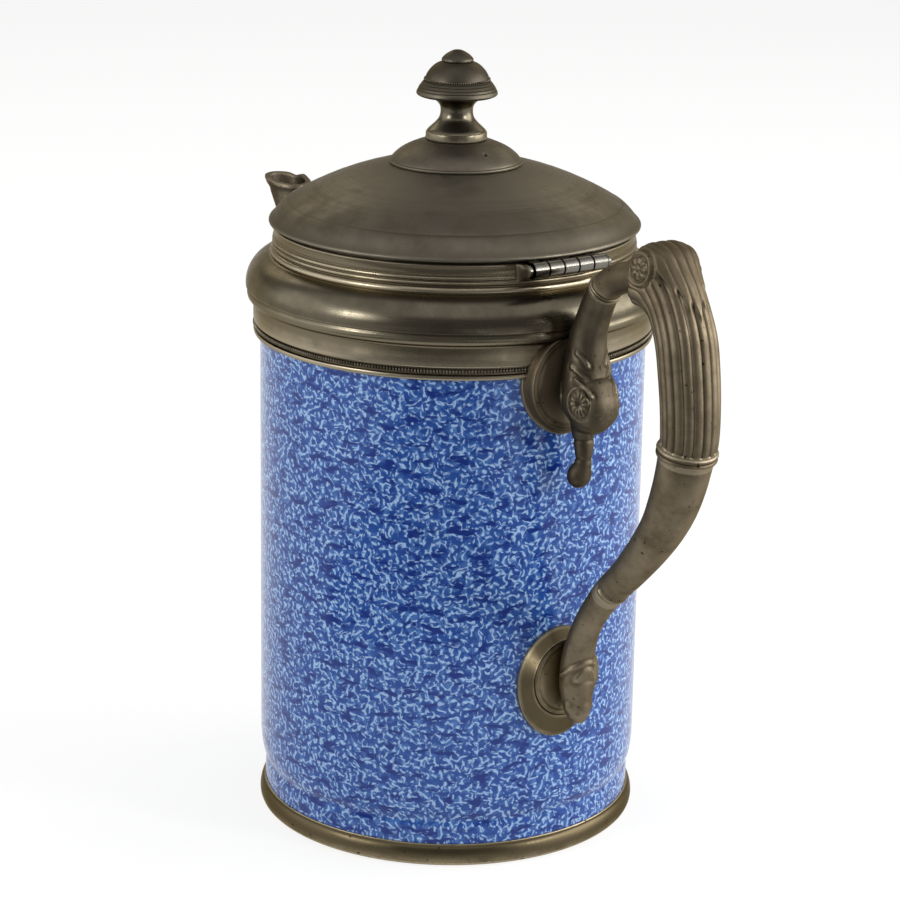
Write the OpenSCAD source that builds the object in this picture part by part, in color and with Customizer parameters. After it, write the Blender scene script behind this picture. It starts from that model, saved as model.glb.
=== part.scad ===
// Enamelled coffee pot with pewter mounts.
// Millimetres. Z is up, the table is z = 0, the pot's axis is the Z axis.
// The handle and the lid hinge lie along +X, the spout along -X.

/* [Body] */
// outside radius of the enamelled cylinder
body_r = 60; // [57:0.5:63]
// height of the collar's lower edge above the table
body_h = 155; // [148:1:162]
// thickness of the enamelled sheet
wall_t = 1.2; // [1:0.1:1.5]
// height of the pewter band round the foot
band_h = 7; // [6:0.25:8]

/* [Collar] */
// how far the shoulder's bulge stands out from the body
bulge_out = 4.4; // [3.8:0.2:5]
// height of the reeded neck
neck_h = 8.7; // [8.3:0.1:10]

/* [Lid] */
// rise of the lid's dome above the lid's lower edge
lid_rise = 20.4; // [19:0.2:23]
// thickness of the lid's sheet
lid_t = 1.3; // [1.1:0.1:1.5]
// radius of the small raised dome under the finial
crown_r = 20.4; // [19:0.2:22]
// radius of the steam vent
vent_r = 0.8; // [0.6:0.1:1.2]

/* [Finial] */
// widest radius of the finial's cap
cap_r = 12.45; // [11.2:0.25:13.7]
// height of the finial above the raised dome
finial_h = 27.3; // [25.5:0.3:30]

/* [Hinge] */
// radius of the hinge's barrel
barrel_r = 2.4; // [2.2:0.05:2.5]
// radius of the hinge's pin
pin_r = 1.1; // [0.9:0.05:1.3]
// length along the axis given to each of the five knuckles
knuckle_p = 5.3; // [4.8:0.1:5.6]

/* [Handle] */
// distance from the body's wall to the middle of the grip
handle_reach = 59.2; // [55:0.5:62]
// width of the grip where it is thickest
grip_w = 19.2; // [17.6:0.4:20.4]
// radius of the two studs that hold the handle
stud_r = 2; // [1.6:0.1:2.4]

/* [Spout] */
// distance from the body's wall to the middle of the spout's mouth
spout_reach = 40.9; // [38:0.3:44]
// width of the spout's mouth
mouth_w = 13; // [12:0.2:15]
// thickness of the spout's wall
spout_t = 1.5; // [1.2:0.1:1.8]

/* [Hidden] */
$fn = 96;
// gap left between a piece and the curved piece that it is soldered to
seat = 0.05;
// gap round a stud in its hole
stud_gap = 0.03;
// radial gap of the turning knuckles round the pin
run_gap = 0.05;
// gap between neighbouring knuckles
side_gap = 0.3;

// body
foot_r = body_r - 1.5;
foot_z = 1.6;
crease_z = 14;
wall_in = body_r - wall_t;
body_top = body_h + 9.5;

// collar
collar_r = body_r + 2.1;
collar_in = body_r + seat;
bulge_r = body_r + bulge_out;
trim_z = body_h + 1.75;
trim_h = 2.1;
trim_in = collar_r - 1.1;
bulge_z = body_h + 15.3;
bulge_b = 9.2;
neck_r = body_r - 4.2;
neck_in = body_r - 5.4;
bulge_c = neck_r - 0.4;
neck_z = body_h + 24.5;
neck_top = neck_z + neck_h;
reed_h = 5.6;

// lid
lid_gap = 1;
lid_z = neck_top + lid_gap;
lid_r = body_r - 2.7;
lid_crease = body_r - 8.8;
dome_top = lid_z + lid_rise;
crease_h = 6.7;
dome_sag = lid_rise - crease_h;
bezel_r = neck_in - 0.6;
bezel_t = 1;
hub_r = 9;
crown_in = crown_r - 1.2;

// finial
hub_z = dome_top - dome_sag * pow(hub_r / lid_crease, 2.2);
crown_z = dome_top + 5.4;
fin_k = finial_h / 27.3;
stem_r = 9.4;
stem_top = crown_z + 12.8 * fin_k;
cap_top = crown_z + 23.7 * fin_k;
fin_top = crown_z + finial_h;
washer_t = 1;
nut_h = 3.2;
nut_r = stud_r * 1.95;
washer_r = stud_r * 3.1;
vent_x = crown_r * 0.767;

// hinge
hinge_x = body_r - 0.6;
hinge_z = neck_top - 1.2;
leaf_t = 0.8;
leaf_w = 5 * knuckle_p + 3;
leaf_z = neck_z + reed_h + 0.2;
leaf_h = neck_top - 0.2 - leaf_z;
plate_t = 0.55;
pin_head = barrel_r * 0.72;

// handle
up_z = body_h - 2.2;
low_z = hz(60.6);
low_drop = 2.6;
boss_x = body_r + 5.3;
up_face = boss_x - 1.7;
up_boss = 14.2;
low_boss = 11.8;
pad_t = 1.4;
up_pad = [15.2, 16.4];
low_pad = [14.1, 17.7];
stud_in = 6;

// spout
sp_z = hz(54);
sp_boss = 15.2;
sp_bore = 11.6;
sp_hole = 9.8;
sp_face = body_r + 5;
sp_pad = [18.5, 21];
sieve_t = 0.8;

// stretches the heights of handle and spout with the body
function hz(z) = z * body_h / 155;
// stretches the distances of the handle with its reach
function hx(x) = boss_x + (x - 65.3) * (handle_reach - 5.3) / 53.9;
// stretches the distances of the spout with its reach
function sx(x) = -sp_face - (x - 65) * (spout_reach - 5) / 35.9;
// the lid's outer height at a radius
function dome_z(r) = dome_top - dome_sag * pow(r / lid_crease, 2.2);
// points of an arc of an ellipse
function arc(cx, cz, a, b, t0, t1, n) = [
    for (i = [0:n]) [cx + a * cos(t0 + (t1 - t0) * i / n), cz + b * sin(t0 + (t1 - t0) * i / n)]
];
// one smooth step between four stations
function blend(a, b, c, d, t) =
    0.5 * (2 * b + (c - a) * t + (2 * a - 5 * b + 4 * c - d) * t * t
    + (3 * b - a - 3 * c + d) * t * t * t);
function at(p, i) = p[max(0, min(len(p) - 1, i))];
// a smooth path through stations from one index to another
function smooth(p, i0, i1, n) = [
    for (i = [i0:i1 - 1], k = [0:n - 1])
        blend(at(p, i - 1), at(p, i), at(p, i + 1), at(p, i + 2), k / n),
    at(p, i1)
];
function unit(v) = v / norm(v);
// direction of a path at a station, in its plane
function way(p, i) = unit([at(p, i + 1)[0] - at(p, i - 1)[0], at(p, i + 1)[1] - at(p, i - 1)[1]]);

// the handle's stations: distance, height, width in its plane, width across
HANDLE = [
    for (s = [
        [67.6, 121.8, 3, 3.2], [67.6, 123.6, 6.2, 6.4], [68.1, 126, 6.9, 7.1],
        [69.6, 129.6, 5, 5.2], [69.9, 133.8, 5.3, 5.5], [69.4, 139.2, 6.8, 7.1],
        [70.1, 142, 9, 9.5], [71.8, 144.6, 13.6, 14.2], [72.4, 147.4, 16.6, 17],
        [71.2, 151.6, 16.5, 17], [69.8, 156.2, 13.6, 14], [69.9, 162.4, 11.6, 12],
        [70.4, 168.4, 10.6, 11], [72.4, 174, 9.8, 10], [74.9, 179.4, 9.4, 9.6],
        [77.5, 183.6, 9.4, 9.4], [81.2, 186.7, 9.2, 9.2], [86.8, 189.2, 9, 9.2],
        [96, 191.6, 9.2, 9.8], [99, 193.2, 14.4, 15.1], [101.3, 193.6, 19.1, 19.4],
        [105.8, 192.8, 19.7, 18.9], [109.2, 189, 18.7, 17.7], [112.7, 183.6, 17.7, 17.3],
        [115.8, 176.6, 17.4, 17.8], [117.5, 168.3, 17.1, 17.8], [118.6, 159.6, 16.9, 17.4],
        [119, 151, 16.6, 17], [118.4, 147, 16.4, 16.6], [117.3, 142, 15.6, 16],
        [115.5, 135.4, 15.2, 15.4], [112.7, 128.2, 14.6, 14.6], [108.8, 121, 13.4, 13.2],
        [103.5, 113.8, 12.2, 12], [97, 106.3, 11, 10.8], [90.4, 99.4, 10, 9.8],
        [84.5, 93.8, 9.6, 9.6], [79.4, 87.8, 8.8, 9], [75.2, 81.8, 8.6, 8.8],
        [72.2, 75.6, 8.8, 9.2], [70.3, 69.4, 9.6, 10], [69.9, 63.8, 10.4, 10.8],
        [69.9, 59, 10.2, 10.6], [70.2, 54.6, 8.8, 9.2], [70.9, 51, 7, 7.6], [71.1, 48.2, 3.4, 4]
    ]) [hx(s[0]), hz(s[1]), s[2] * grip_w / 19.2, s[3] * grip_w / 19.2]
];
I_ELBOW = 15;
I_KNEE = 18;
I_RING = 28;
I_SEAM = 36;

// the spout's stations: distance, height, width in its plane, width across
SPOUT = [
    for (s = [
        [65, 54, 29, 29], [70, 54.8, 28.4, 28.4], [75, 57.8, 26.6, 26.8], [78.7, 63.2, 24, 24.6],
        [80.7, 71, 21.6, 22.4], [81.5, 82, 19.6, 20.4], [81.6, 96, 17.8, 18.4], [81.8, 110, 16.2, 16.6],
        [82.4, 124, 14.8, 15], [83.8, 138, 13.8, 13.8], [86.4, 151.5, 13, 12.8], [89.8, 163.5, 12.6, 12.2],
        [93.9, 173.6, 13.6, 12.4], [97.4, 179.4, 16, 12.8], [100.9, 185.1, 19, 13]
    ]) [sx(s[0]), hz(s[1]), s[2], s[3] * (s[1] > 170 ? mouth_w / 13 : 1)]
];

// a solid turned about the pot's axis
module turned(p) {
    rotate_extrude() polygon(p);
}

// one loop of points round a station
function loop(s, t, n) = [
    for (j = [0:n - 1])
        let (a = 360 * j / n)
        [s[0] - t[1] * s[2] / 2 * cos(a), s[3] / 2 * sin(a), s[1] + t[0] * s[2] / 2 * cos(a)]
];

// direction of the grip's section, which fans about a point under its crest
function fanned(p, i) =
    let (
        d = [p[i][0] - hx(97.5), p[i][1] - hz(172)],
        k = max(0, min(1, d[1] / hz(12)))
    )
    unit((1 - k) * way(p, i) + k * unit([d[1], -d[0]]));

// a solid swept along stations, with the directions of its two ends
module swept(p, t0, t1, n, fan = false) {
    m = len(p);
    pts = [
        for (i = [0:m - 1])
            each loop(p[i], i == 0 ? t0 : i == m - 1 ? t1 : fan ? fanned(p, i) : way(p, i), n)
    ];
    sides = [
        for (i = [0:m - 2], j = [0:n - 1])
            each [
                [i * n + j, (i + 1) * n + j, i * n + (j + 1) % n],
                [i * n + (j + 1) % n, (i + 1) * n + j, (i + 1) * n + (j + 1) % n]
            ]
    ];
    head = [for (j = [0:n - 1]) j];
    tail = [for (j = [n - 1:-1:0]) (m - 1) * n + j];
    polyhedron(pts, concat(sides, [head], [tail]));
}

// direction of a tube's section, turning over its last steps to that of its end
function facing(p, i, t0, t1) =
    let (k = max(0, 1 - (len(p) - 1 - i) / 9), e = k * k * (3 - 2 * k))
    i == 0 ? t0 : unit((1 - e) * way(p, i) + e * t1);

// a tube swept along stations
module tube(p, t0, t1, wall, n) {
    m = len(p);
    k = m * n;
    thin = [for (s = p) [s[0], s[1], s[2] - 2 * wall, s[3] - 2 * wall]];
    pts = [
        for (q = [p, thin])
            for (i = [0:m - 1])
                each loop(q[i], facing(q, i, t0, t1), n)
    ];
    skin = [
        for (i = [0:m - 2], j = [0:n - 1])
            each [
                [i * n + j, (i + 1) * n + j, i * n + (j + 1) % n],
                [i * n + (j + 1) % n, (i + 1) * n + j, (i + 1) * n + (j + 1) % n]
            ]
    ];
    bore = [
        for (i = [0:m - 2], j = [0:n - 1])
            each [
                [k + i * n + j, k + i * n + (j + 1) % n, k + (i + 1) * n + j],
                [k + i * n + (j + 1) % n, k + (i + 1) * n + (j + 1) % n, k + (i + 1) * n + j]
            ]
    ];
    e = (m - 1) * n;
    ends = [
        for (j = [0:n - 1])
            each [
                [j, (j + 1) % n, k + j],
                [(j + 1) % n, k + (j + 1) % n, k + j],
                [e + j, k + e + j, e + (j + 1) % n],
                [e + (j + 1) % n, k + e + j, k + e + (j + 1) % n]
            ]
    ];
    polyhedron(pts, concat(skin, bore, ends));
}

// a cylinder along X from x0 to x1
module rod_x(r, x0, x1, z) {
    translate([x0, 0, z]) rotate([0, 90, 0]) cylinder(r = r, h = x1 - x0);
}

// a cylinder along Y from y0 to y1 on the hinge's axis
module rod_y(r, y0, y1) {
    translate([hinge_x, y1, hinge_z]) rotate([90, 0, 0]) cylinder(r = r, h = y1 - y0);
}

// an upright oval block along X
module oval_x(size, x0, x1, z) {
    translate([x0, 0, z]) rotate([0, 90, 0]) linear_extrude(height = x1 - x0)
        polygon([for (i = [0:47]) [size[1] * cos(i * 7.5), size[0] * sin(i * 7.5)]]);
}

// a thin oval plate bent round the body
module saddle(size, z) {
    intersection() {
        oval_x(size, body_r - 12, body_r + 12, z);
        translate([0, 0, z - 30]) difference() {
            cylinder(r = body_r + seat + pad_t, h = 60);
            translate([0, 0, -1]) cylinder(r = body_r + seat, h = 62);
        }
    }
}

module body_wall() {
    outer = [
        [foot_r, foot_z], [foot_r, crease_z - 1.4], [foot_r - 0.5, crease_z - 0.2],
        [foot_r - 0.5, crease_z + 0.4], [foot_r + 0.4, crease_z + 1.6],
        [foot_r + 1, crease_z + 3.4], [foot_r + 1.4, crease_z + 6], [body_r, crease_z + 9],
        [body_r, body_top]
    ];
    inner = [
        [wall_in, body_top], [wall_in, crease_z + 9], [foot_r + 1 - wall_t, crease_z + 4.2],
        [foot_r - 0.5 - wall_t, crease_z + 1], [foot_r - 0.5 - wall_t, crease_z - 0.8],
        [foot_r - wall_t, crease_z - 1.8], [foot_r - wall_t, foot_z]
    ];
    color("RoyalBlue") difference() {
        turned(concat(outer, inner));
        rod_x(sp_hole, -body_r - 5, -body_r + 20, sp_z);
        rod_x(stud_r + stud_gap, body_r - 20, body_r + 5, up_z);
        rod_x(stud_r + stud_gap, body_r - 20, body_r + 5, low_z);
    }
}

module bottom_pan() {
    r = foot_r - wall_t - seat;
    t = wall_t * 0.85;
    z = crease_z - 2.6;
    color("RoyalBlue") turned([[0, z - t], [r - t, z - t], [r - t, 4], [r, 4], [r, z], [0, z]]);
}

module base_band() {
    b = foot_r + seat;
    color("DimGray") turned([
        [foot_r - 4, 0], [foot_r + 0.6, 0], [foot_r + 1.3, 0.7], [foot_r + 1.75, 1.8],
        [foot_r + 1.8, 2.9], [foot_r + 1.6, band_h * 0.6], [foot_r + 1.1, band_h * 0.8],
        [foot_r + 0.6, band_h - 0.4], [b, band_h], [b, foot_z], [foot_r - 4, foot_z]
    ]);
}

module collar_shoulder() {
    a = bulge_r - bulge_c;
    ridge = bulge_r - 0.4;
    outer = concat(
        [
            [collar_in + 1, body_h], [collar_r - 0.3, body_h + 0.3], [collar_r, body_h + 0.7],
            [collar_r, trim_z - 0.4], [collar_r - 0.2, trim_z], [trim_in, trim_z],
            [trim_in, trim_z + trim_h], [collar_r - 0.1, trim_z + trim_h],
            [collar_r, body_h + 10.2], [collar_r + 0.4, body_h + 10.8], [ridge - 0.6, body_h + 11.1],
            [ridge, body_h + 12], [ridge, body_h + 13.2], [ridge - 0.3, body_h + 14]
        ],
        arc(bulge_c, bulge_z, a, bulge_b, -6, 78, 14),
        [[neck_r + 1.2, neck_z], [neck_in - 0.2, neck_z]]
    );
    inner = concat(
        [[neck_in - 0.2, neck_z - 1.3]],
        arc(bulge_c, bulge_z, a - 1.3, bulge_b - 1.3, 78, 0, 12),
        [[ridge - 1.6, body_h + 13.4], [collar_in, body_h + 11], [collar_in, body_h]]
    );
    color("DimGray") turned(concat(outer, inner));
}

module beaded_trim() {
    b = trim_in + seat;
    z0 = trim_z + seat;
    z1 = trim_z + trim_h - seat;
    color("Gray") turned([
        [b, z0], [collar_r - 0.3, z0], [collar_r + 0.2, z0 + 0.4], [collar_r + 0.4, (z0 + z1) / 2],
        [collar_r + 0.2, z1 - 0.4], [collar_r - 0.3, z1], [b, z1]
    ]);
}

module neck_ring() {
    z = neck_z;
    color("DimGray") turned([
        [neck_in, z], [neck_r + 0.6, z], [neck_r + 1, z + 0.5], [neck_r + 1, z + 1.6],
        [neck_r + 0.6, z + 2.2], [neck_r + 0.1, z + 2.4], [neck_r + 0.5, z + 2.8],
        [neck_r + 0.5, z + 3.6], [neck_r + 0.1, z + 3.9], [neck_r + 0.4, z + 4.3],
        [neck_r + 0.4, z + reed_h - 0.4], [neck_r, z + reed_h], [neck_r, neck_top], [neck_in, neck_top]
    ]);
}

// lower edge of knuckle k of five
function knuckle(k) = (k - 2.5) * knuckle_p;

module hinge_fixed_leaf() {
    r = neck_r + seat;
    color("Silver") union() {
        intersection() {
            translate([0, 0, leaf_z]) difference() {
                cylinder(r = r + leaf_t, h = leaf_h);
                translate([0, 0, -1]) cylinder(r = r, h = leaf_h + 2);
            }
            translate([0, -leaf_w / 2, leaf_z - 1]) cube([body_r, leaf_w, leaf_h + 2]);
        }
        for (k = [0, 2, 4]) difference() {
            union() {
                rod_y(barrel_r, knuckle(k) + side_gap / 2, knuckle(k + 1) - side_gap / 2);
                translate([neck_r - 4, knuckle(k) + side_gap / 2, leaf_z])
                    cube([hinge_x - neck_r + 4, knuckle_p - side_gap, leaf_h - 0.7]);
            }
            rod_y(pin_r + stud_gap, knuckle(k) - 1, knuckle(k + 1) + 1);
            translate([0, 0, leaf_z - 1]) cylinder(r = r, h = leaf_h + 5);
        }
    }
}

module hinge_pin() {
    color("Silver") union() {
        rod_y(pin_r, knuckle(0) - 0.6, knuckle(5) + 0.6);
        rod_y(pin_head, knuckle(0) - 1.2, knuckle(0) - 0.1);
        rod_y(pin_head, knuckle(5) + 0.1, knuckle(5) + 1.2);
    }
}

module hinge_lid_leaf() {
    z0 = lid_z - seat - plate_t;
    back = bezel_r + 0.2;
    color("Silver") union() {
        difference() {
            translate([back - 3, knuckle(0.3), z0])
                cube([hinge_x - barrel_r - 0.3 - back + 3, knuckle_p * 4.4, plate_t]);
            translate([0, 0, z0 - 1]) cylinder(r = back, h = 4);
        }
        for (k = [1, 3]) difference() {
            union() {
                rod_y(barrel_r, knuckle(k) + side_gap / 2, knuckle(k + 1) - side_gap / 2);
                translate([hinge_x - barrel_r - 1, knuckle(k) + side_gap / 2, z0])
                    cube([barrel_r + 1, knuckle_p - side_gap, plate_t]);
            }
            rod_y(pin_r + run_gap, knuckle(k) - 1, knuckle(k + 1) + 1);
        }
    }
}

// a round boss that ends in a flat face
module boss(r, x, z) {
    translate([body_r - 4, 0, z]) rotate([0, 90, 0])
        cylinder(r1 = r + 1.2, r2 = r - 0.2, h = x - body_r + 4);
}

module upper_pad() {
    color("DimGray") difference() {
        union() {
            saddle(up_pad, up_z);
            difference() {
                boss(up_boss, up_face, up_z);
                translate([0, 0, up_z - 30]) cylinder(r = body_r + seat, h = 60);
            }
        }
        translate([0, 0, body_h - seat]) cylinder(r = collar_r + 0.5, h = 10.2);
        translate([0, 0, body_h + 10]) cylinder(r = bulge_r + 0.1, h = 20);
        rod_x(stud_r + stud_gap, body_r - 20, boss_x + 1, up_z);
    }
}

module lower_pad() {
    color("DimGray") difference() {
        union() {
            saddle(low_pad, low_z - low_drop);
            difference() {
                boss(low_boss, boss_x, low_z);
                translate([0, 0, low_z - 30]) cylinder(r = body_r + seat, h = 60);
            }
        }
        rod_x(stud_r + stud_gap, body_r - 20, boss_x + 1, low_z);
    }
}

// the part of the handle between two stations
module handle_part(i0, i1, n) {
    swept(smooth(HANDLE, i0, i1, 3), way(HANDLE, i0), way(HANDLE, i1), n);
}

// a short collar of the handle about a station
module handle_collar(i, half, grow) {
    s = HANDLE[i];
    t = way(HANDLE, i);
    p = [
        for (k = [[0, 0], [0.15, 1], [0.5, 1.25], [0.85, 1], [1, 0]])
            [
                s[0] + t[0] * half * 2 * k[0], s[1] + t[1] * half * 2 * k[0],
                s[2] + grow * k[1], s[3] + grow * k[1]
            ]
    ];
    swept(p, t, t, 24);
}

// the handle's stations with one of them pushed along its own direction
function pushed(i, d) = [
    HANDLE[i][0] + way(HANDLE, i)[0] * d, HANDLE[i][1] + way(HANDLE, i)[1] * d,
    HANDLE[i][2], HANDLE[i][3]
];

// the part of the handle that follows a collar
module after_collar(i0, half, i1, t1) {
    p = concat([pushed(i0, half * 2)], smooth(HANDLE, i0 + 1, i1, 3));
    swept(p, way(HANDLE, i0), t1, 24);
}

elbow_half = 0.8;
ring_half = 1.6;
// direction of the cut between knee and grip
knee_way = [cos(3), sin(3)];

module handle_scroll() {
    color("DimGray") difference() {
        handle_part(0, I_ELBOW, 24);
        translate([up_face - 20, -20, up_z - 16]) cube([20, 40, 32]);
        rod_x(stud_r + stud_gap, up_face - 1, boss_x + stud_in, up_z);
    }
}

module elbow_ring() {
    color("Gray") handle_collar(I_ELBOW, elbow_half, 1.2);
}

module handle_knee() {
    color("DimGray") after_collar(I_ELBOW, elbow_half, I_KNEE, knee_way);
}

module handle_grip() {
    color("DimGray")
        swept(smooth(HANDLE, I_KNEE, I_RING, 3), knee_way, way(HANDLE, I_RING), 28, true);
}

module grip_ring() {
    color("Gray") handle_collar(I_RING, ring_half, 1);
}

module handle_lower() {
    color("DimGray") after_collar(I_RING, ring_half, I_SEAM, way(HANDLE, I_SEAM));
}

module handle_foot() {
    color("DimGray") difference() {
        handle_part(I_SEAM, len(HANDLE) - 1, 24);
        translate([boss_x - 20, -20, low_z - 14]) cube([20, 40, 28]);
        rod_x(stud_r + stud_gap, boss_x - 1, boss_x + stud_in, low_z);
    }
}

// where the nuts' washers lie against the inside of the wall
wash_x = sqrt(pow(wall_in, 2) - pow(washer_r, 2)) - seat;

module handle_studs() {
    x0 = wash_x - washer_t - nut_h - 1;
    color("Silver") for (z = [up_z, low_z]) rod_x(stud_r, x0, boss_x + stud_in - 0.3, z);
}

module handle_washers() {
    color("Silver") for (z = [up_z, low_z]) difference() {
        rod_x(washer_r, wash_x - washer_t, wash_x, z);
        rod_x(stud_r + stud_gap, wash_x - washer_t - 1, wash_x + 1, z);
    }
}

// a six-sided nut with its bore, standing on z = 0
module nut() {
    difference() {
        cylinder(r = nut_r, h = nut_h, $fn = 6);
        translate([0, 0, -1]) cylinder(r = stud_r + stud_gap, h = nut_h + 2);
    }
}

module handle_nuts() {
    color("Silver") for (z = [up_z, low_z])
        translate([wash_x - washer_t - nut_h, 0, z]) rotate([0, 90, 0]) nut();
}

module spout_flange() {
    color("DimGray") difference() {
        union() {
            rotate([0, 0, 180]) saddle(sp_pad, sp_z);
            difference() {
                rod_x(sp_boss, -sp_face, -body_r + 4, sp_z);
                translate([0, 0, sp_z - 30]) cylinder(r = body_r + seat, h = 60);
            }
        }
        rod_x(sp_bore, -sp_face - 1, -body_r + 20, sp_z);
    }
}

module spout_neck() {
    color("DimGray")
        tube(smooth(SPOUT, 0, len(SPOUT) - 1, 3), [-1, 0], [sin(4), cos(4)], spout_t, 28);
}

module spout_sieve() {
    x = -sp_face + 2;
    color("Silver") difference() {
        rod_x(sp_bore - seat, x - sieve_t, x, sp_z);
        for (a = [0:60:300])
            translate([0, 5 * cos(a), 5 * sin(a)]) rod_x(1.1, x - 3, x + 3, sp_z);
        for (a = [15:30:345])
            translate([0, 8.6 * cos(a), 8.6 * sin(a)]) rod_x(1.1, x - 3, x + 3, sp_z);
        rod_x(1.1, x - 3, x + 3, sp_z);
    }
}

module lid_shell() {
    c = lid_crease;
    k = lid_r - c;
    radii = [hub_r, 14, crown_in, crown_r, 26, 31, 36, 40, 44, 47.5];
    outer = concat(
        [[0, hub_z]],
        [for (r = radii) if (r < c - 2) [r, dome_z(r)]],
        [[c, dome_z(c)]],
        [for (s = [[0.17, 0.93], [0.36, 0.78], [0.56, 0.59], [0.74, 0.4], [0.9, 0.22], [1, 0.1]])
            [c + k * s[0], lid_z + crease_h * s[1]]],
        [[lid_r - 0.1, lid_z + 0.25], [lid_r - 0.5, lid_z]]
    );
    inner = concat(
        [[bezel_r + seat, lid_z], [bezel_r + seat, lid_z + 0.9], [lid_r - 1.9, lid_z + 0.9]],
        [for (s = [[0.72, 0.24], [0.5, 0.44], [0.3, 0.6], [0.1, 0.72]])
            [c + k * s[0] - 0.5, lid_z + crease_h * s[1]]],
        [for (i = [len(radii) - 1:-1:0]) if (radii[i] < c - 2) [radii[i], dome_z(radii[i]) - lid_t]],
        [[0, hub_z - lid_t]]
    );
    color("DimGray") difference() {
        turned(concat(outer, inner));
        translate([0, 0, hub_z - 9]) cylinder(r = stud_r + stud_gap, h = 20);
        translate([vent_x, 0, hub_z - 9]) cylinder(r = vent_r, h = 20);
    }
}

module lid_bezel() {
    b = bezel_r - bezel_t;
    color("Gray") turned([
        [b + 0.4, lid_z - 5.2], [bezel_r - 0.4, lid_z - 5.2], [bezel_r, lid_z - 4.6],
        [bezel_r, lid_z + 1.8], [b, lid_z + 1.8], [b, lid_z - 4.6]
    ]);
}

module lid_crown() {
    h = crown_z - dome_z(crown_r);
    z = dome_z(crown_r);
    t = 1;
    curve = [[0.975, 0.14], [0.925, 0.33], [0.845, 0.53], [0.735, 0.71], [0.59, 0.88], [0.46, 1]];
    color("DimGray") difference() {
        turned(concat(
            [[crown_r, z + seat]],
            [for (s = curve) [crown_r * s[0], z + h * s[1]]],
            [[0, crown_z], [0, crown_z - t]],
            [for (i = [5:-1:1]) [crown_r * curve[i][0] - t * 0.9, z + h * curve[i][1] - t * 0.9]],
            [[crown_in, dome_z(crown_in) + seat]]
        ));
        translate([0, 0, crown_z - 9]) cylinder(r = stud_r + stud_gap, h = 20);
        translate([vent_x, 0, z - 1]) cylinder(r = vent_r, h = 20);
    }
}

module finial_stem() {
    b = stud_r + stud_gap;
    z = crown_z;
    k = fin_k;
    color("DimGray") turned([
        [b, z], [stem_r - 0.3, z], [stem_r, z + 0.5 * k], [stem_r, z + 2.5 * k],
        [9.1, z + 2.9 * k], [8, z + 3.8 * k], [6.5, z + 5.1 * k], [5.4, z + 6.5 * k],
        [5, z + 8 * k], [5, z + 9.6 * k], [5.4, z + 10.7 * k], [6.3, z + 11.7 * k],
        [7.4, stem_top], [b, stem_top]
    ]);
}

module finial_cap() {
    b = stud_r + stud_gap;
    z = stem_top;
    h = cap_top - stem_top;
    c = cap_r;
    color("DimGray") turned([
        [b, z], [8.2, z], [c * 0.95, z + 0.06 * h], [c, z + 0.12 * h], [c * 0.985, z + 0.2 * h],
        [c * 0.955, z + 0.28 * h], [c * 0.9, z + 0.37 * h], [c * 0.845, z + 0.45 * h],
        [c * 0.8, z + 0.5 * h], [c * 0.76, z + 0.62 * h], [c * 0.69, z + 0.75 * h],
        [c * 0.59, z + 0.88 * h], [c * 0.475, z + 0.965 * h], [c * 0.4, cap_top], [b, cap_top]
    ]);
}

module finial_button() {
    z = cap_top;
    h = fin_top - cap_top;
    color("DimGray") difference() {
        turned([
            [0, z], [4.5, z], [4.85, z + 0.12 * h], [4.9, z + 0.22 * h], [4.5, z + 0.4 * h],
            [3.7, z + 0.58 * h], [2.9, z + 0.74 * h], [2, z + 0.88 * h], [1.1, z + 0.97 * h], [0, fin_top]
        ]);
        translate([0, 0, z - 1]) cylinder(r = stud_r + stud_gap, h = 1 + h * 0.4);
    }
}

module finial_stud() {
    z0 = hub_z - lid_t - washer_t - nut_h - 1;
    color("Silver") translate([0, 0, z0]) cylinder(r = stud_r, h = cap_top + fin_k - z0);
}

module finial_washer() {
    color("Silver") translate([0, 0, hub_z - lid_t - washer_t]) difference() {
        cylinder(r = washer_r, h = washer_t);
        translate([0, 0, -1]) cylinder(r = stud_r + stud_gap, h = 4);
    }
}

module finial_nut() {
    color("Silver") translate([0, 0, hub_z - lid_t - washer_t - nut_h]) nut();
}

body_wall();
bottom_pan();
base_band();
collar_shoulder();
beaded_trim();
neck_ring();
hinge_fixed_leaf();
hinge_pin();
upper_pad();
lower_pad();
handle_scroll();
elbow_ring();
handle_knee();
handle_grip();
grip_ring();
handle_lower();
handle_foot();
handle_studs();
handle_washers();
handle_nuts();
spout_flange();
spout_neck();
spout_sieve();
lid_shell();
lid_bezel();
lid_crown();
finial_stem();
finial_cap();
finial_button();
finial_stud();
finial_washer();
finial_nut();
hinge_lid_leaf();
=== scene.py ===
"""Blue graniteware coffee pot with turned and cast pewter mounts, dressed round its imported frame.

Sizes are millimetres in the frame of the solids: the pot stands on z = 0 about the Z axis, its
handle is towards +X and its spout towards -X.
"""

import logging
import math
from dataclasses import dataclass, field
from enum import Enum
from typing import Any, ClassVar, Optional, Sequence, Union

import bpy
import numpy as np
from mathutils import Matrix, Vector


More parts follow.
